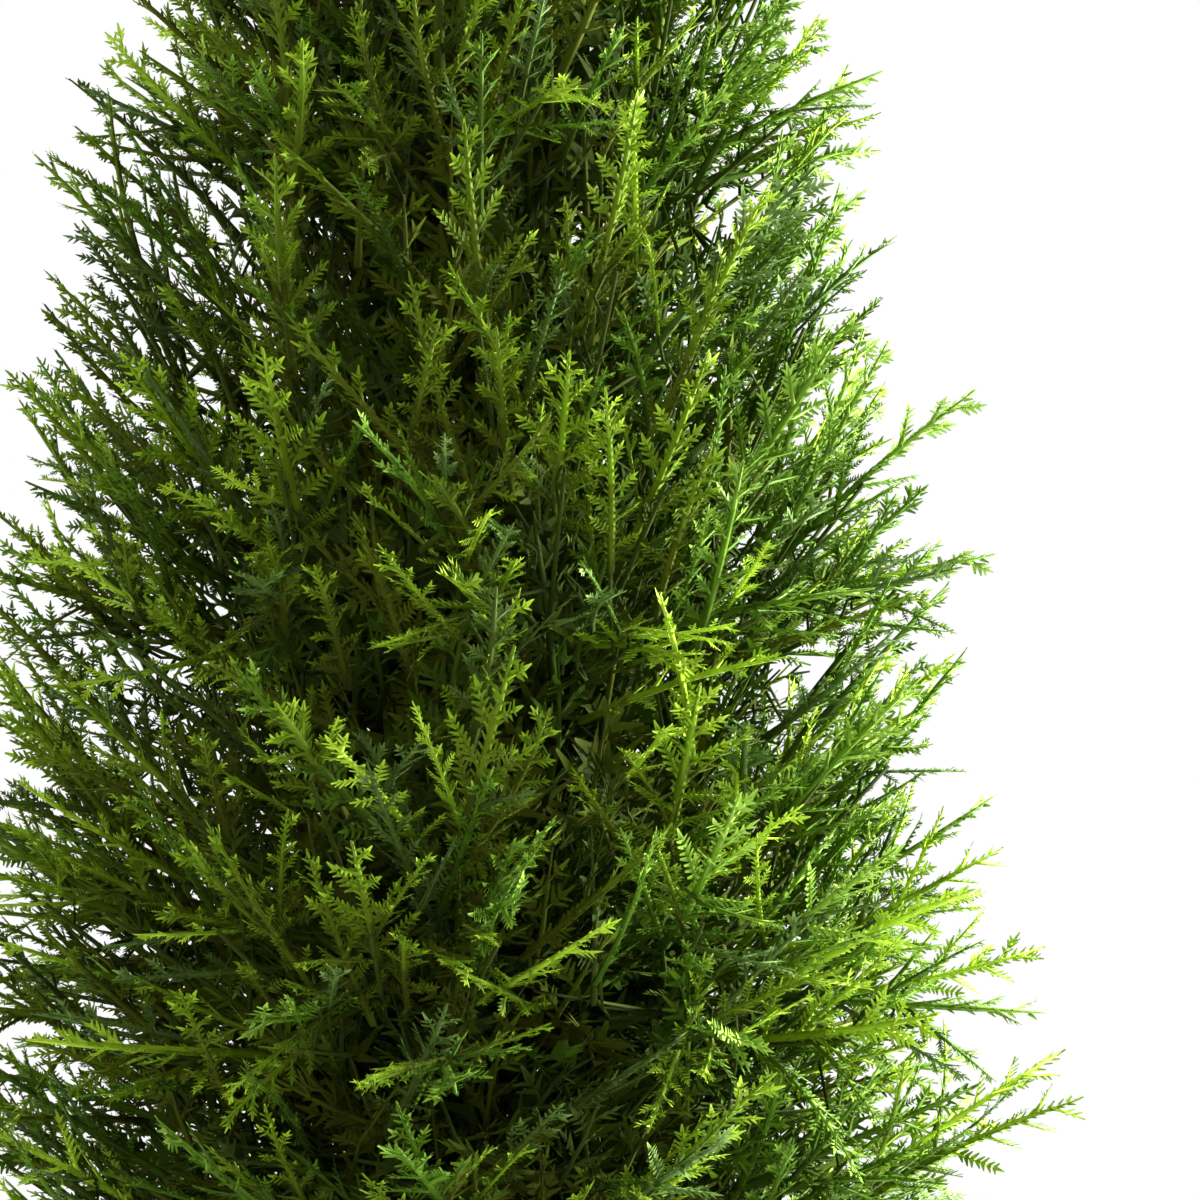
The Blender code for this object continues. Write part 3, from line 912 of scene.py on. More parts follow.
def add_branch(growth, spray):
    """A branch that stands out of the crown: a sprig at its tip, and pairs that leave its sides."""
    chance = growth.chance
    turn, steep = spray.angles()
    steep -= swing(chance, 0, BRANCH_DIP)
    ahead = direction(turn, steep)
    tone = chance.uniform(-0.02, 0.2)
    tip = spray.tip + ahead * chance.uniform(0.0, BRANCH_REACH)
    add_fanned(growth, tip, turn, steep, chance.uniform(*BRANCH_END_SIZE), tone, "end")
    level = Vector((-ahead.y, ahead.x, 0)).normalized()
    roll = chance.uniform(-math.pi / 2, math.pi / 2)
    aside = level * math.cos(roll) + ahead.cross(level) * math.sin(roll)
    length = (spray.tip - spray.root).length
    for k in range(2 * BRANCH_PAIRS):
        share = (k + chance.uniform(0.2, 0.8)) / (2 * BRANCH_PAIRS)
        root = spray.tip - ahead * length * (1.0 - 0.62 * share)
        spread = swing(chance, *BRANCH_SPREAD) * (1 if k % 2 else -1)
        heading = ahead * math.cos(spread) + aside * math.sin(spread)
        size = (SIDE_SIZE - SIDE_SHRINKS * share) * chance.uniform(0.9, 1.1)
        add_kept(growth, root, *angles_of(heading), size, tone + chance.uniform(-0.14, 0.1))


def cover_share(place):
    """How far out along its branch line the cover reaches at a place, with swells and hollows."""
    (low, base), (high, full) = COVER_LOW, COVER_HIGH
    climbed = clamped((place.z - low) / (high - low))
    fuller = COVER_LEFT * clamped(-place.x / COVER_LEFT_WIDTH)
    swell = COVER_SWELL * noise.noise(place * COVER_LUMPS)
    return base + (full - base) * climbed + fuller + swell


def add_cover(growth, space, sprays):
    """The close cover between the branches, set back from their tips and pointing more upwards."""
    chance = growth.chance
    peaks = [space.at(spray.across, spray.up, 1) for spray in sprays]
    for across, up in face_places(space, growth.sprigs.gap, chance):
        place = space.at(across, up, 1)
        away = min((place - peak).length for peak in peaks)
        close = math.exp(-((away / COVER_PEAK_WIDTH) ** 2))
        share = cover_share(place) + COVER_PEAK * close + chance.uniform(-0.03, 0.03)
        tip = space.at(across, up, min(share, 0.99))
        start, turn = space.line(across, up)
        turn += swing(chance, -COVER_TURN, COVER_TURN)
        steep = math.radians(COVER_STEEP + chance.uniform(*COVER_VARIES))
        steep += COVER_RISE * rise(start)
        tone = -0.08 + 0.1 * close + chance.uniform(-0.14, 0.14)
        add_fanned(growth, tip, turn, steep, chance.uniform(*COVER_SIZE), tone)


def add_depth(growth, space):
    """Coarser sprigs behind the cover in painted shade, and the darkest ones round the limbs."""
    chance = growth.chance
    for kind, spaced, shares, tone in DEPTH_LAYERS:
        for across, up in face_places(space, growth.sprigs.gap * spaced, chance):
            tip = space.at(across, up, chance.uniform(*shares))
            start, turn = space.line(across, up)
            turn += swing(chance, -DEPTH_TURN, DEPTH_TURN)
            steep = rise(start) + swing(chance, *DEPTH_STEEP)
            add_fanned(growth, tip, turn, steep, chance.uniform(*DEPTH_SIZE), tone, kind)


def add_underside(growth, space):
    """Sprigs that close the crown from below, down to its foot."""
    chance = growth.chance
    for k in range(UNDERSIDE_SPRIGS):
        across = 2 * (k + chance.random()) / UNDERSIDE_SPRIGS - 1
        tip = space.at(across, -1, chance.uniform(*UNDERSIDE_OUT))
        turn = space.line(across, 0)[1] + swing(chance, -UNDERSIDE_TURN, UNDERSIDE_TURN)
        steep = swing(chance, *UNDERSIDE_STEEP)
        # Their tone of -0.2 is painted shade under the crown
        add_fanned(growth, tip, turn, steep, chance.uniform(*UNDERSIDE_SIZE), -0.2, "inner")


def add_fanned(growth, tip, turn, steep, size, tone, kind="outer"):
    """Adds a sprig whose flat side looks outwards, kept above the foot of the crown."""
    steep = min(steep, STEEPEST_SPRIG)
    reach = growth.sprigs.length * size
    while steep > -0.6 and tip.z - math.sin(steep) * reach < CROWN_FOOT + 0.01:
        steep -= 0.08
    outward = direction(turn, steep - math.pi / 2)
    if growth.chance.random() < INWARD_SHARE:
        outward = -outward
    growth.add_sprig(tip, direction(turn, steep), outward, size, tone, kind)


def grow_top(patterns, sprigs):
    """Grows the leader on from the trunk, with sprigs in close whorls up to the tree's tip."""
    seed = len(masses()) + 1
    growth = Growth(seed, patterns, sprigs)
    chance = growth.chance
    foot = trunk_axis(TRUNK_TOP)
    sprays = leader_sprays(seed)
    side = Vector((1, 0, 0))
    leader = [foot + UP * (TREE_HEIGHT - 0.06 - TRUNK_TOP) * k / 6 for k in range(7)]
    radii = tapered(LEADER_RADIUS, STEM_TIP_RADIUS * 0.6, 6)
    growth.limbs.append(limb_shape(leader, radii, 8, up=side))
    growth.joints += leader
    for spray in sprays[:-1]:
        growth.add_limb([spray.root, spray.at(0.3)], 0.0016, 0.0011, 5)
        turn, steep = spray.angles()
        add_kept(growth, spray.at(0.1), turn, steep, 1.0, 0.12)
        for _ in range(3):
            root = spray.at(chance.uniform(0.0, 0.3))
            aside = turn + math.radians(chance.choice((-1, 1)) * chance.uniform(20, 55))
            tilt = steep + swing(chance, -22, 10)
            size, tone = chance.uniform(0.7, 0.95), chance.uniform(-0.1, 0.1)
            add_kept(growth, root, aside, tilt, size, tone)
    for k in range(LEADER_SPRIGS):
        share = k / (LEADER_SPRIGS - 1)
        root = foot + UP * (0.01 + (TREE_HEIGHT - 0.115 - TRUNK_TOP) * share)
        steep = math.radians(50 + 28 * share + chance.uniform(-8, 8))
        turn = math.radians(LEADER_TURN * k)
        add_kept(growth, root, turn, steep, 0.95 - 0.2 * share, chance.uniform(-0.15, 0.15))
        if k % 2:
            # Inner sprigs round the leader, darkened by their tone as painted shade
            add_kept(growth, root, turn + 2.4, steep, 0.6, -0.35, "inner")
    tip = sprays[-1].tip
    growth.add_sprig(tip, (tip - sprays[-1].root).normalized(), side, 1.0, 0.1)
    growth.pieces("top", GREEN_SLOTS[-1], ["top_foliage"], leaf_finishes())


def add_kept(growth, root, turn, steep, size, tone, kind="outer"):
    """Adds a sprig from its root, shortened until its tip is inside the crown's outline."""
    steep = min(steep, STEEPEST_SPRIG)
    for _ in range(12):
        tip = root + direction(turn, steep) * growth.sprigs.length * size
        if math.hypot(tip.x, tip.y) < crown_radius(tip.z):
            break
        size *= 0.93
        steep = min(steep + 0.02, STEEPEST_SPRIG)
    add_fanned(growth, tip, turn, steep, size, tone, kind)


# Bark


def bark_relief(angle, height, size):
    """How far bark stands out at a place: long upright ridges, broken by finer grain."""
    around = Vector((math.cos(angle) * 2.6, math.sin(angle) * 2.6, height * 16))
    ridge = 1 - 2 * abs(noise.noise(around))
    grain = noise.noise(Vector((around.x * 3, around.y * 3, height * 130)))
    return size * (0.65 * ridge + 0.35 * grain - 0.4)


def trunk_mesh(bark):
    """The trunk, with ridged bark, out to the flare where it stands on the filling."""
    rings = bark.trunk_rings

    def mapped(point):
        height = TRUNK_FOOT + (TRUNK_TOP - TRUNK_FOOT) * point.z / (rings - 1)
        angle = math.atan2(point.y, point.x)
        radius = trunk_radius(height)
        radius += bark_relief(angle, height, bark.relief * radius / TRUNK_FOOT_RADIUS)
        return trunk_axis(height) + direction(angle, 0) * radius

    return mesh_of_bmesh("trunk_bark", tube(rings, TRUNK_SIDES, mapped), 60)


def bough_line(space):
    """The middle line of a bough, as in the solids: it leaves the trunk gently and bends up."""
    along = direction(space.turn, rise(space.middle))
    end = space.at(0, 0, BOUGH_END) - along * GAP
    flat = Vector((along.x, along.y, 0)).normalized()
    steep = rise(space.middle)
    half = math.hypot(end.x, end.y) / 2
    low = end.z - half * (math.tan(steep) + math.tan(steep * BOUGH_EASE))
    start = trunk_axis(low)
    start += flat * (trunk_radius(low) + BOUGH_CLEARANCE - 0.003)
    bend = end - along * ((end - start).dot(flat) / 2 / math.cos(steep))
    return arc(start, bend, end, BOUGH_RINGS - 1)


def bough_tube(space, bark):
    """A bough as a bmesh, widest where it leaves the trunk, with finer bark than the trunk's."""
    centres = bough_line(space)
    count = len(centres)
    seed = space.turn * 7 + space.low * 31

    def mapped(point):
        k = round(point.z)
        ahead = centres[min(k + 1, count - 1)] - centres[max(k - 1, 0)]
        frame_here = set_at(centres[k], ahead, UP)
        angle = math.atan2(point.y, point.x)
        share = k / (count - 1)
        radius = BOUGH_RADIUS + (BOUGH_TIP_RADIUS - BOUGH_RADIUS) * share
        radius += 0.0016 * math.exp(-share * 9)
        radius += bark_relief(angle, share * 0.06 + seed, bark.relief * 0.32)
        return frame_here @ Vector((0, math.cos(angle) * radius, math.sin(angle) * radius))

    return tube(count, BOUGH_SIDES, mapped)


# Pot and filling


def spun(profile, steps):
    """A body turned about Z from a profile of radii and heights that starts and ends on it."""
    shape = bmesh.new()
    points = [shape.verts.new((radius, 0, height)) for radius, height in profile]
    edges = [shape.edges.new(pair) for pair in zip(points, points[1:])]
    turn = {"cent": (0, 0, 0), "axis": (0, 0, 1), "angle": 2 * math.pi, "steps": steps}
    bmesh.ops.spin(shape, geom=points + edges, use_merge=True, **turn)
    bmesh.ops.remove_doubles(shape, verts=shape.verts, dist=1e-6)
    return shape


def wall_radius(height):
    """The outer radius of the pot's tapered wall."""
    slope = (POT_RIM_RADIUS - RIM_STEP - POT_FOOT_RADIUS) / POT_HEIGHT
    return POT_FOOT_RADIUS + slope * height


def round_edges(shape, sharper, width):
    """Bevels the ring edges of a turned body where its wall turns by more than an angle."""
    bmesh.ops.recalc_face_normals(shape, faces=shape.faces)
    limit = math.radians(sharper)
    edges = [edge for edge in shape.edges if edge.calc_face_angle(0) > limit]
    bmesh.ops.bevel(
        shape,
        geom=edges,
        offset=width,
        offset_type="OFFSET",
        segments=3,
        profile=0.5,
        affect="EDGES",
        material=-1,
        clamp_overlap=True,
    )


def pot_mesh():
    """The pot, with a hollow underside and a band round its rim."""
    band = POT_HEIGHT - RIM_BAND
    profile = [
        (0, 0.0006),
        (POT_FOOT_RADIUS - 0.014, 0.0006),
        (POT_FOOT_RADIUS - 0.0146, 0),
        (POT_FOOT_RADIUS - POT_EDGE / 2, 0),
        *((wall_radius(height), height) for height in (POT_EDGE / 2, *POT_RINGS, band)),
        (wall_radius(band) + RIM_STEP, band + POT_EDGE / 2),
        (POT_RIM_RADIUS, POT_HEIGHT - POT_EDGE),
        (POT_RIM_RADIUS - POT_EDGE, POT_HEIGHT),
        (wall_radius(POT_HEIGHT) - POT_WALL + POT_EDGE / 2, POT_HEIGHT),
        (wall_radius(POT_HEIGHT) - POT_WALL, POT_HEIGHT - POT_EDGE / 2),
        (wall_radius(POT_FLOOR) - POT_WALL, POT_FLOOR),
        (0, POT_FLOOR),
    ]
    shape = spun(profile, POT_STEPS)
    round_edges(shape, 25, 0.0004)
    return mesh_of_bmesh("pot_shell", shape, 40)


def filling_height(x, y):
    """The lumpy top of the filling, which falls a little towards the pot's wall."""
    out = math.hypot(x, y) / wall_radius(FILL_TOP)
    lumps = noise.noise(Vector((x * 42, y * 42, 3.1)))
    lumps += 0.5 * noise.noise(Vector((x * 120, y * 120, 7.7)))
    return FILL_TOP - FILL_FALL * out * out + 0.0016 * lumps * min(1, (1 - out) * 6) - 0.0012


def filling_mesh():
    edge = wall_radius(FILL_TOP - FILL_FALL) - POT_WALL - GAP
    low = wall_radius(POT_FLOOR) - POT_WALL - GAP
    rings = [(edge * (1 - k / FILL_RINGS), FILL_TOP) for k in range(FILL_RINGS + 1)]
    profile = [(0, POT_FLOOR + GAP), (low, POT_FLOOR + GAP)] + rings
    shape = spun(profile, FILL_STEPS)
    for vert in shape.verts:
        if vert.co.z > FILL_TOP - 1e-6:
            vert.co.z = filling_height(vert.co.x, vert.co.y)
    return mesh_of_bmesh("filling_bed", shape, 50)


def crumb(chance):
    """A small angular crumb of the filling."""
    shape = bmesh.new()
    bmesh.ops.create_icosphere(shape, subdivisions=1, radius=1)
    for vert in shape.verts:
        vert.co = vert.co * chance.uniform(0.7, 1.15)
        vert.co.z *= 0.55
    return Shape.read(shape)


def strewn_crumbs(pot, count_of_finishes):
    """Crumbs over the filling, clear of the wall and of the trunk's foot, and their finishes."""
    chance = random.Random(77)
    shapes, tints = [], []
    for _ in range(CRUMB_KINDS):
        source = crumb(chance)
        places = []
        for _ in range(pot.crumbs // CRUMB_KINDS):
            away = 0.021 + (wall_radius(FILL_TOP) - 0.031) * math.sqrt(chance.random())
            turn = chance.uniform(0, 2 * math.pi)
            x, y = away * math.cos(turn), away * math.sin(turn)
            heading = direction(chance.uniform(0, 2 * math.pi), chance.uniform(-0.5, 0.5))
            at = Vector((x, y, filling_height(x, y) + 0.0004))
            places.append(set_at(at, heading, UP, chance.uniform(0.0012, 0.0034)))
        shapes.append(source.stamped(places, [0] * len(places)))
        picked = [chance.randrange(count_of_finishes) for _ in places]
        tints.append(np.repeat(picked, len(source.corners)))
    return shapes, tints


# Finishes


def settings():
    return bpy.context.scene.cypress


def between(shade, middle, tip, share):
    """A colour along the way from shade over the middle to the tip, even to the eye."""
    first, second = (shade, middle) if share < 0.5 else (middle, tip)
    along = share * 2 if share < 0.5 else share * 2 - 1
    eye = 1 / 2.2
    mixed = (a**eye + (b**eye - a**eye) * along for a, b in zip(first, second))
    return tuple(value**2.2 for value in mixed)


def leaf_finishes():
    """The tints of the three greens, then young bark: made once, and shared by every mass."""
    colours = settings().colours
    tints = [(green, k) for green in ("yellow", "pure", "blue") for k in range(TINTS)]
    names = [f"{green}_green_{k + 1}" for green, k in tints] + ["young_bark"]
    if "young_bark" not in bpy.data.materials:
        for name, (green, k) in zip(names, tints):
            stops = (getattr(colours, f"{green}_{part}") for part in ("shade", "leaf", "tip"))
            share = k / (TINTS - 1)
            leaf_finish(name, between(*stops, share), SHADE_ROUGHER * (1 - share))
        leaf_finish("young_bark", tuple(colours.young_bark), SHADE_ROUGHER)
    return [bpy.data.materials[name] for name in names]


def shaded(colour, by, more=0.0):
    """A colour made darker or paler."""
    return tuple(min(1, value * by + more) for value in colour)


def leaf_finish(name, colour, duller):
    """Moulded plastic of one tint, faintly mottled, with an uneven sheen, dullest in the shade."""
    even = settings().colours.leaf_roughness + duller
    finish = Finish(name, colour, even, LEAF_GLOSS)
    mottle = finish.steps(finish.noise(70, 3), 0.35, 0.65)
    mottled = finish.mix(mottle, shaded(colour, 0.86), shaded(colour, 1.14))
    finish.wear(mottled, even - 0.05 + mottle * 0.1)


def bark_finish():
    colours = settings().colours
    finish = Finish("brown_bark", tuple(colours.bark), 0.85)
    ridges = finish.noise(90, 6, (1, 1, 0.16), 0.65)
    grain = finish.noise(420, 4, (1, 1, 0.35))
    relief = ridges * 0.7 + grain * 0.3
    tone = finish.steps(relief, 0.34, 0.66)
    colour = finish.mix(tone, shaded(colours.bark, 0.34), shaded(colours.bark, 1.9, 0.012))
    return finish.wear(colour, 0.92 - grain * 0.2, relief, 0.0012, 0.8)


def pot_finish():
    colours = settings().colours
    finish = Finish("black_pot_plastic", tuple(colours.pot), 0.42)
    cloud = finish.noise(14, 5)
    grain = finish.noise(900, 2)
    dust = finish.steps(cloud, 0.42, 0.78)
    colour = finish.mix(dust, tuple(colours.pot), shaded(colours.pot, 1.8, 0.006))
    return finish.wear(colour, 0.38 + cloud * 0.14 + grain * 0.06, grain, 0.0002, 0.25)


def soil_finish(name, colour):
    finish = Finish(name, colour, 0.95)
    clods = finish.noise(160, 6, roughness=0.7)
    specks = finish.noise(700, 3)
    tone = finish.steps(clods * 0.6 + specks * 0.4, 0.36, 0.64)
    earth = finish.mix(tone, shaded(colour, 0.35), shaded(colour, 1.8, 0.01))
    return finish.wear(earth, 0.9, clods + specks * 0.5, 0.0015, 0.9)


def floor_finish():
    colour = tuple(settings().stage.floor)
    finish = Finish("pale_floor", colour, 0.8)
    cloud = finish.noise(6, 3)
    return finish.wear(roughness=0.76 + cloud * 0.08)


# Sizes and colours that a user would change


def limited(kind, name, description, default, low, high, **more):
    """A property of a kind, with its name, description, default, least and most value."""
    return kind(name=name, description=description, default=default, min=low, max=high, **more)


def length_property(*words_and_limits):
    return limited(FloatProperty, *words_and_limits, subtype="DISTANCE", unit="LENGTH")


def count_property(*words_and_limits):
    return limited(IntProperty, *words_and_limits)


def share_property(*words):
    return limited(FloatProperty, *words, 0.0, 1.0, subtype="FACTOR")


def power_property(*words):
    return limited(FloatProperty, *words, 0.0, 1000.0, subtype="POWER", unit="POWER")


def colour_property(*words):
    return limited(FloatVectorProperty, *words, 0.0, 1.0, size=3, subtype="COLOR")


def green_property(green, part, colour):
    where = {"Shade": "at a sprig's root", "Leaf": "halfway along it", "Tip": "at the tips"}
    return colour_property(f"{green} Green {part}", f"{green} green {where[part]}", colour)


class CypressSprigs(bpy.types.PropertyGroup):
    """Sizes of the moulded sprigs, and how closely they stand."""

    length: length_property("Length", "Length from a sprig's root to its tip", 0.094, 0.03, 0.2)
    gap: length_property(
        "Gap", "Distance between neighbouring sprigs on the crown's outside", 0.0430, 0.015, 0.1
    )
    stem_width: length_property(
        "Stem Width", "Width of a sprig's flat stem at its root", 0.0042, 0.001, 0.01
    )
    side_twigs: count_property(
        "Side Twigs", "Number of side twigs along a sprig, on alternate sides", 11, 4, 24
    )
    longest_twig: length_property(
        "Longest Twig", "Length of the side twigs at a sprig's root", 0.0170, 0.005, 0.06
    )
    shortest_twig: length_property(
        "Shortest Twig", "Length of the side twigs near a sprig's tip", 0.0078, 0.003, 0.06
    )
    twig_width: length_property(
        "Twig Width", "Width of a side twig at its root", 0.0022, 0.0003, 0.01
    )
    needle_length: length_property(
        "Needle Length", "Length of a needle from its twig to its tip", 0.0040, 0.001, 0.02
    )
    needle_width: length_property(
        "Needle Width", "Width of a needle where it is widest", 0.0019, 0.0003, 0.005
    )
    needle_gap: length_property(
        "Needle Gap", "Distance between needles along a twig", 0.0024, 0.001, 0.01
    )
    yellow_share: share_property(
        "Yellow Green Share", "Share of the sprigs that are yellow green with bright tips", 0.58
    )
    blue_share: share_property(
        "Blue Green Share", "Share that are blue green; the rest are pure green", 0.22
    )


class CypressBark(bpy.types.PropertyGroup):
    """The relief of the trunk's and boughs' bark."""

    relief: length_property(
        "Relief", "Height of the bark's ridges at the trunk's foot", 0.0013, 0.0, 0.005
    )
    trunk_rings: count_property(
        "Trunk Rings", "Number of rings of points in the trunk's bark", 260, 20, 600
    )


class CypressPot(bpy.types.PropertyGroup):
    """What lies on the pot's filling."""

    crumbs: count_property("Crumbs", "Number of loose crumbs on the filling", 700, 0, 4000)


class CypressColours(bpy.types.PropertyGroup):
    """Colours of the foliage, the bark and the pot."""

    yellow_shade: green_property("Yellow", "Shade", (0.054, 0.070, 0.002))
    yellow_leaf: green_property("Yellow", "Leaf", (0.106, 0.190, 0.003))
    yellow_tip: green_property("Yellow", "Tip", (0.345, 0.525, 0.032))
    pure_shade: green_property("Pure", "Shade", (0.028, 0.058, 0.001))
    pure_leaf: green_property("Pure", "Leaf", (0.068, 0.148, 0.005))
    pure_tip: green_property("Pure", "Tip", (0.240, 0.400, 0.048))
    blue_shade: green_property("Blue", "Shade", (0.036, 0.058, 0.005))
    blue_leaf: green_property("Blue", "Leaf", (0.066, 0.122, 0.020))
    blue_tip: green_property("Blue", "Tip", (0.180, 0.290, 0.072))
    young_bark: colour_property("Young Bark", "Thin twigs and limbs", (0.028, 0.044, 0.002))
    bark: colour_property("Bark", "Bark of the trunk and the boughs", (0.105, 0.062, 0.036))
    pot: colour_property("Pot", "Plastic of the pot", (0.014, 0.014, 0.015))
    filling: colour_property("Filling", "Dark cover on the filling", (0.048, 0.034, 0.023))
    leaf_roughness: share_property(
        "Leaf Roughness", "Roughness of the moulded needles and twigs at their tips", 0.42
    )


class CypressStage(bpy.types.PropertyGroup):
    """The floor, the light and the camera."""

    floor: colour_property("Floor", "Plain pale floor", (0.80, 0.80, 0.79))
    floor_radius: length_property("Floor Radius", "Radius of the round floor", 2.0, 0.5, 2.05)
    key: power_property("Key Light", "Main light, to the right and a little behind", 290.0)
    back: power_property("Back Light", "High light behind and to the right", 60.0)
    left: power_property("Left Light", "Soft light to the left", 34.0)
    front: power_property("Front Light", "Weak light above the camera", 24.0)
    sky: limited(
        FloatProperty, "Room Light", "Strength of the even light from all round", 0.28, 0.0, 5.0
    )
    distance: length_property(
        "Camera Distance", "Distance of the camera from the trunk's axis", 1.5, 0.5, 10.0
    )
    width: length_property(
        "View Width", "Width of what the camera sees at the trunk's axis", 0.522, 0.1, 5.0
    )
    view_right: length_property(
        "View Right", "How far right of the trunk the middle of the view is", 0.054, -5.0, 5.0
    )
    view_height: length_property(
        "View Height", "Height of the middle of the view", 0.629, -5.0, 5.0
    )


class CypressSettings(bpy.types.PropertyGroup):
    """Everything that can be set about the tree."""

    sprigs: PointerProperty(type=CypressSprigs, name="Sprigs", description="Moulded sprigs")
    bark: PointerProperty(type=CypressBark, name="Bark", description="Relief of the bark")
    pot: PointerProperty(type=CypressPot, name="Pot", description="Pot and filling")
    colours: PointerProperty(type=CypressColours, name="Colours", description="Colours")
    stage: PointerProperty(type=CypressStage, name="Stage", description="Floor, light, camera")


# Operators


class CYPRESS_OT_make_pot(bpy.types.Operator):
    """Make the black plastic pot with its rim band"""

    bl_idname = "cypress.make_pot"
    bl_label = "Make Pot"

    def execute(self, context):
        piece_of("pot_shell", pot_mesh(), [pot_finish()], "pot", ["pot"])
        return {"FINISHED"}


class CYPRESS_OT_make_filling(bpy.types.Operator):
    """Make the dark filling in the pot, with its crumbs"""

    bl_idname = "cypress.make_filling"
    bl_label = "Make Filling"

    def execute(self, context):
        colour = tuple(settings().colours.filling)
        bed = soil_finish("dark_filling", colour)
        piece_of("filling_bed", filling_mesh(), [bed], "filling", ["pot_filling"])
        shades = [(0.5, "dark_crumbs"), (1.2, "brown_crumbs"), (2.4, "pale_crumbs")]
        finishes = [soil_finish(name, shaded(colour, by)) for by, name in shades]
        crumbs = strewn_crumbs(settings().pot, len(finishes))
        joined_piece("filling_crumbs", *crumbs, finishes, "filling", ["pot_filling"])
        return {"FINISHED"}


class CYPRESS_OT_make_limbs(bpy.types.Operator):
    """Make the trunk and the boughs, with ridged bark"""

    bl_idname = "cypress.make_limbs"
    bl_label = "Make Trunk and Boughs"

    def execute(self, context):
        bark = settings().bark
        finish = bark_finish()
        piece_of("trunk_bark", trunk_mesh(bark), [finish], "bark", ["trunk"])
        boughs = bmesh.new()
        names = []
        for mass in masses():
            mesh = plain_mesh("bough", bough_tube(mass.space, bark))
            boughs.from_mesh(mesh)
            bpy.data.meshes.remove(mesh)
            names.append(f"{mass.tier}_bough_{mass.number}")
        mesh = mesh_of_bmesh("boughs_bark", boughs, 60)
        piece_of("boughs_bark", mesh, [finish], "bark", names)
        return {"FINISHED"}


class CYPRESS_OT_grow_tier(bpy.types.Operator):
    """Grow the masses of foliage of one tier of the crown"""

    bl_idname = "cypress.grow_tier"
    bl_label = "Grow Tier"

    tier: EnumProperty(
        name="Tier",
        description="Tier of the crown to grow",
        items=[(tier, tier.capitalize(), f"The {tier} tier") for tier in TIERS],
        default="skirt",
    )

    def execute(self, context):
        patterns = sprig_patterns(settings().sprigs)
        for mass in masses():
            if mass.tier == self.tier:
                grow_mass(mass, patterns, settings().sprigs)
        return {"FINISHED"}


class CYPRESS_OT_grow_top(bpy.types.Operator):
    """Grow the leader and the foliage at the tree's tip"""

    bl_idname = "cypress.grow_top"
    bl_label = "Grow Top"

    def execute(self, context):
        grow_top(sprig_patterns(settings().sprigs), settings().sprigs)
        return {"FINISHED"}


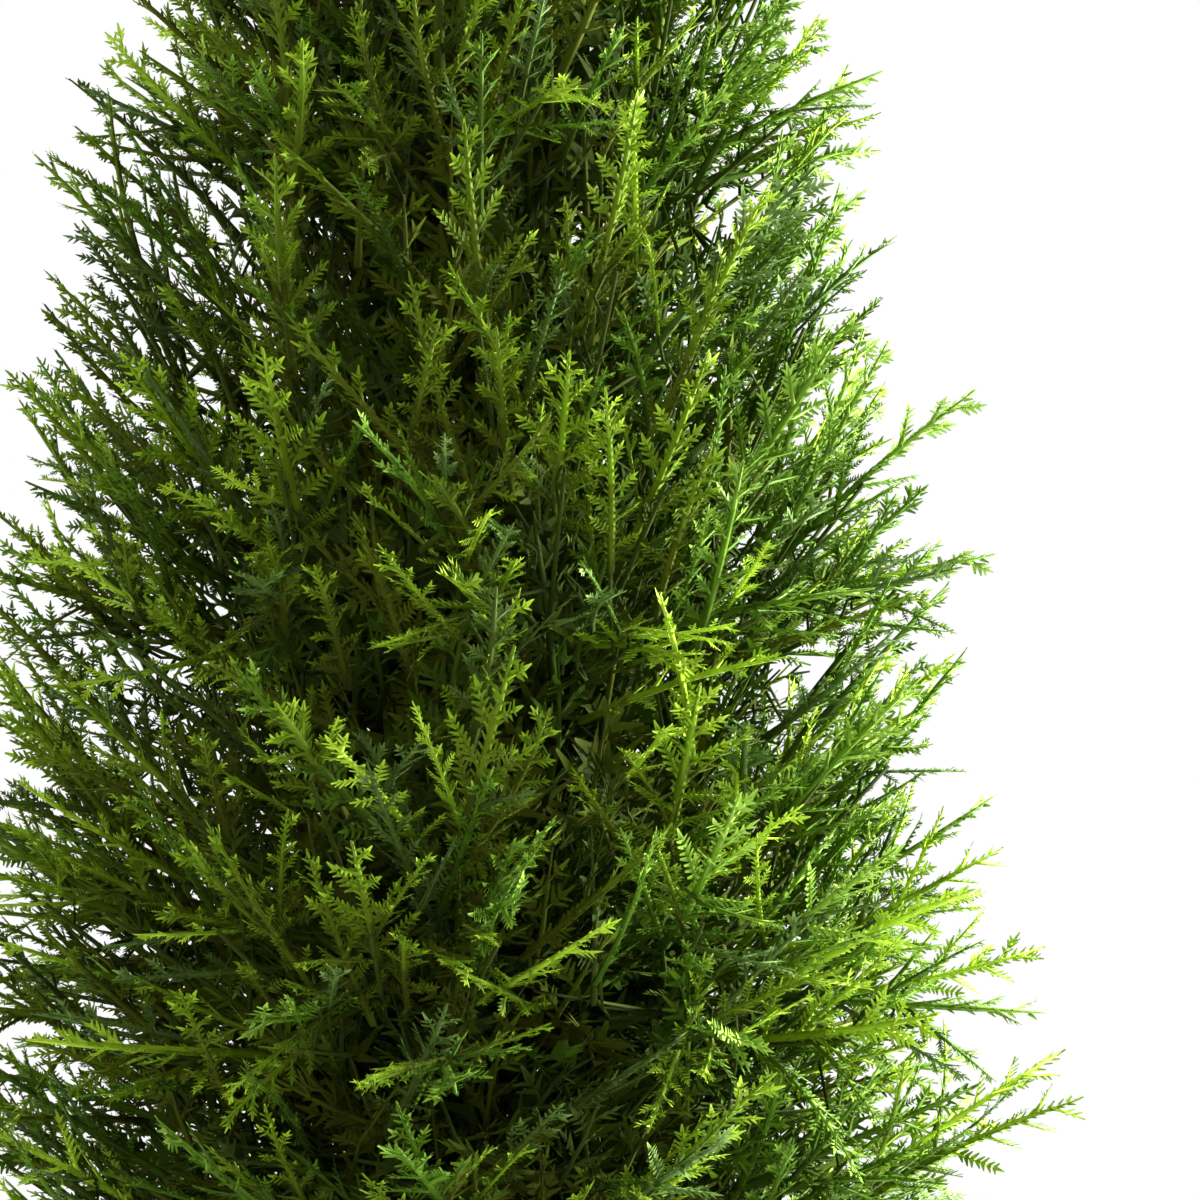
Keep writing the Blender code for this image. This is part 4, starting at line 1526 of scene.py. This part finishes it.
class CYPRESS_OT_set_stage(bpy.types.Operator):
    """Set the floor, the studio light and the camera"""

    bl_idname = "cypress.set_stage"
    bl_label = "Set Stage"

    def execute(self, context):
        stage = settings().stage
        self.make_floor(stage)
        self.make_room(context.scene, stage)
        for name, (place, size) in LIGHTS.items():
            self.add_light(name, Vector(place), size, getattr(stage, name))
        self.aim_camera(context.scene, stage)
        return {"FINISHED"}

    def make_floor(self, stage):
        shape = bmesh.new()
        bmesh.ops.create_circle(shape, segments=96, radius=stage.floor_radius, cap_ends=True)
        bmesh.ops.translate(shape, verts=shape.verts, vec=(0, 0, -0.0005))
        mesh = plain_mesh("floor", shape)
        mesh.materials.append(floor_finish())
        floor = placed("floor", mesh)
        floor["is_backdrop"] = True

    def make_room(self, scene, stage):
        """White where the camera looks past the floor, and a softer light on the tree."""
        world = bpy.data.worlds.new("room")
        world.use_nodes = True
        tree = world.node_tree
        path = tree.nodes.new("ShaderNodeLightPath")
        mixed = tree.nodes.new("ShaderNodeMixShader")
        light, wall = tree.nodes["Background"], tree.nodes.new("ShaderNodeBackground")
        for k, (even, strength) in enumerate(((light, stage.sky), (wall, 1.0))):
            even.inputs["Color"].default_value = (1, 1, 1, 1)
            even.inputs["Strength"].default_value = strength
            tree.links.new(even.outputs["Background"], mixed.inputs[k + 1])
        tree.links.new(path.outputs["Is Camera Ray"], mixed.inputs["Fac"])
        tree.links.new(mixed.outputs["Shader"], tree.nodes["World Output"].inputs["Surface"])
        scene.world = world
        scene.view_settings.view_transform = "Standard"

    def add_light(self, name, place, size, power):
        data = bpy.data.lights.new(name, "AREA")
        data.shape, data.size, data.energy = "DISK", size, power
        light = placed(name, data)
        light.location = place
        towards = Vector((0, 0, LIT_HEIGHT)) - place
        light.rotation_euler = towards.to_track_quat("-Z", "Y").to_euler()

    def aim_camera(self, scene, stage):
        data = bpy.data.cameras.new("camera")
        data.sensor_width = 36.0
        data.lens = data.sensor_width * stage.distance / stage.width
        camera = placed("camera", data)
        camera.location = (stage.view_right, -stage.distance, stage.view_height)
        camera.rotation_euler = (math.pi / 2, 0, 0)
        scene.camera = camera


class CYPRESS_PT_tree(bpy.types.Panel):
    """Panel with each step of dressing the tree"""

    bl_idname = "CYPRESS_PT_tree"
    bl_label = "Potted Cypress"
    bl_space_type = "VIEW_3D"
    bl_region_type = "UI"
    bl_category = "Cypress"

    def draw(self, context):
        column = self.layout.column()
        for step in (CYPRESS_OT_make_pot, CYPRESS_OT_make_filling, CYPRESS_OT_make_limbs):
            column.operator(step.bl_idname)
        for tier in TIERS:
            column.operator("cypress.grow_tier", text=f"Grow {tier} tier").tier = tier
        column.operator("cypress.grow_top")
        column.operator("cypress.set_stage")
        for group in ("sprigs", "bark", "pot", "colours", "stage"):
            box = self.layout.box()
            box.label(text=group.capitalize())
            values = getattr(context.scene.cypress, group)
            for name in type(values).__annotations__:
                box.prop(values, name)


CLASSES = (
    CypressSprigs,
    CypressBark,
    CypressPot,
    CypressColours,
    CypressStage,
    CypressSettings,
    CYPRESS_OT_make_pot,
    CYPRESS_OT_make_filling,
    CYPRESS_OT_make_limbs,
    CYPRESS_OT_grow_tier,
    CYPRESS_OT_grow_top,
    CYPRESS_OT_set_stage,
    CYPRESS_PT_tree,
)


def register():
    for kind in CLASSES:
        bpy.utils.register_class(kind)
    bpy.types.Scene.cypress = PointerProperty(type=CypressSettings)


def unregister():
    del bpy.types.Scene.cypress
    for kind in reversed(CLASSES):
        bpy.utils.unregister_class(kind)


def main():
    register()
    bpy.ops.cypress.make_pot()
    bpy.ops.cypress.make_filling()
    bpy.ops.cypress.make_limbs()
    for tier in TIERS:
        bpy.ops.cypress.grow_tier(tier=tier)
    bpy.ops.cypress.grow_top()
    bpy.ops.cypress.set_stage()
    boxes = {"cad": SOLID_BOX, "visual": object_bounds()}
    plain = {name: [[float(n) for n in corner] for corner in box] for name, box in boxes.items()}


if __name__ == "__main__":
    main()
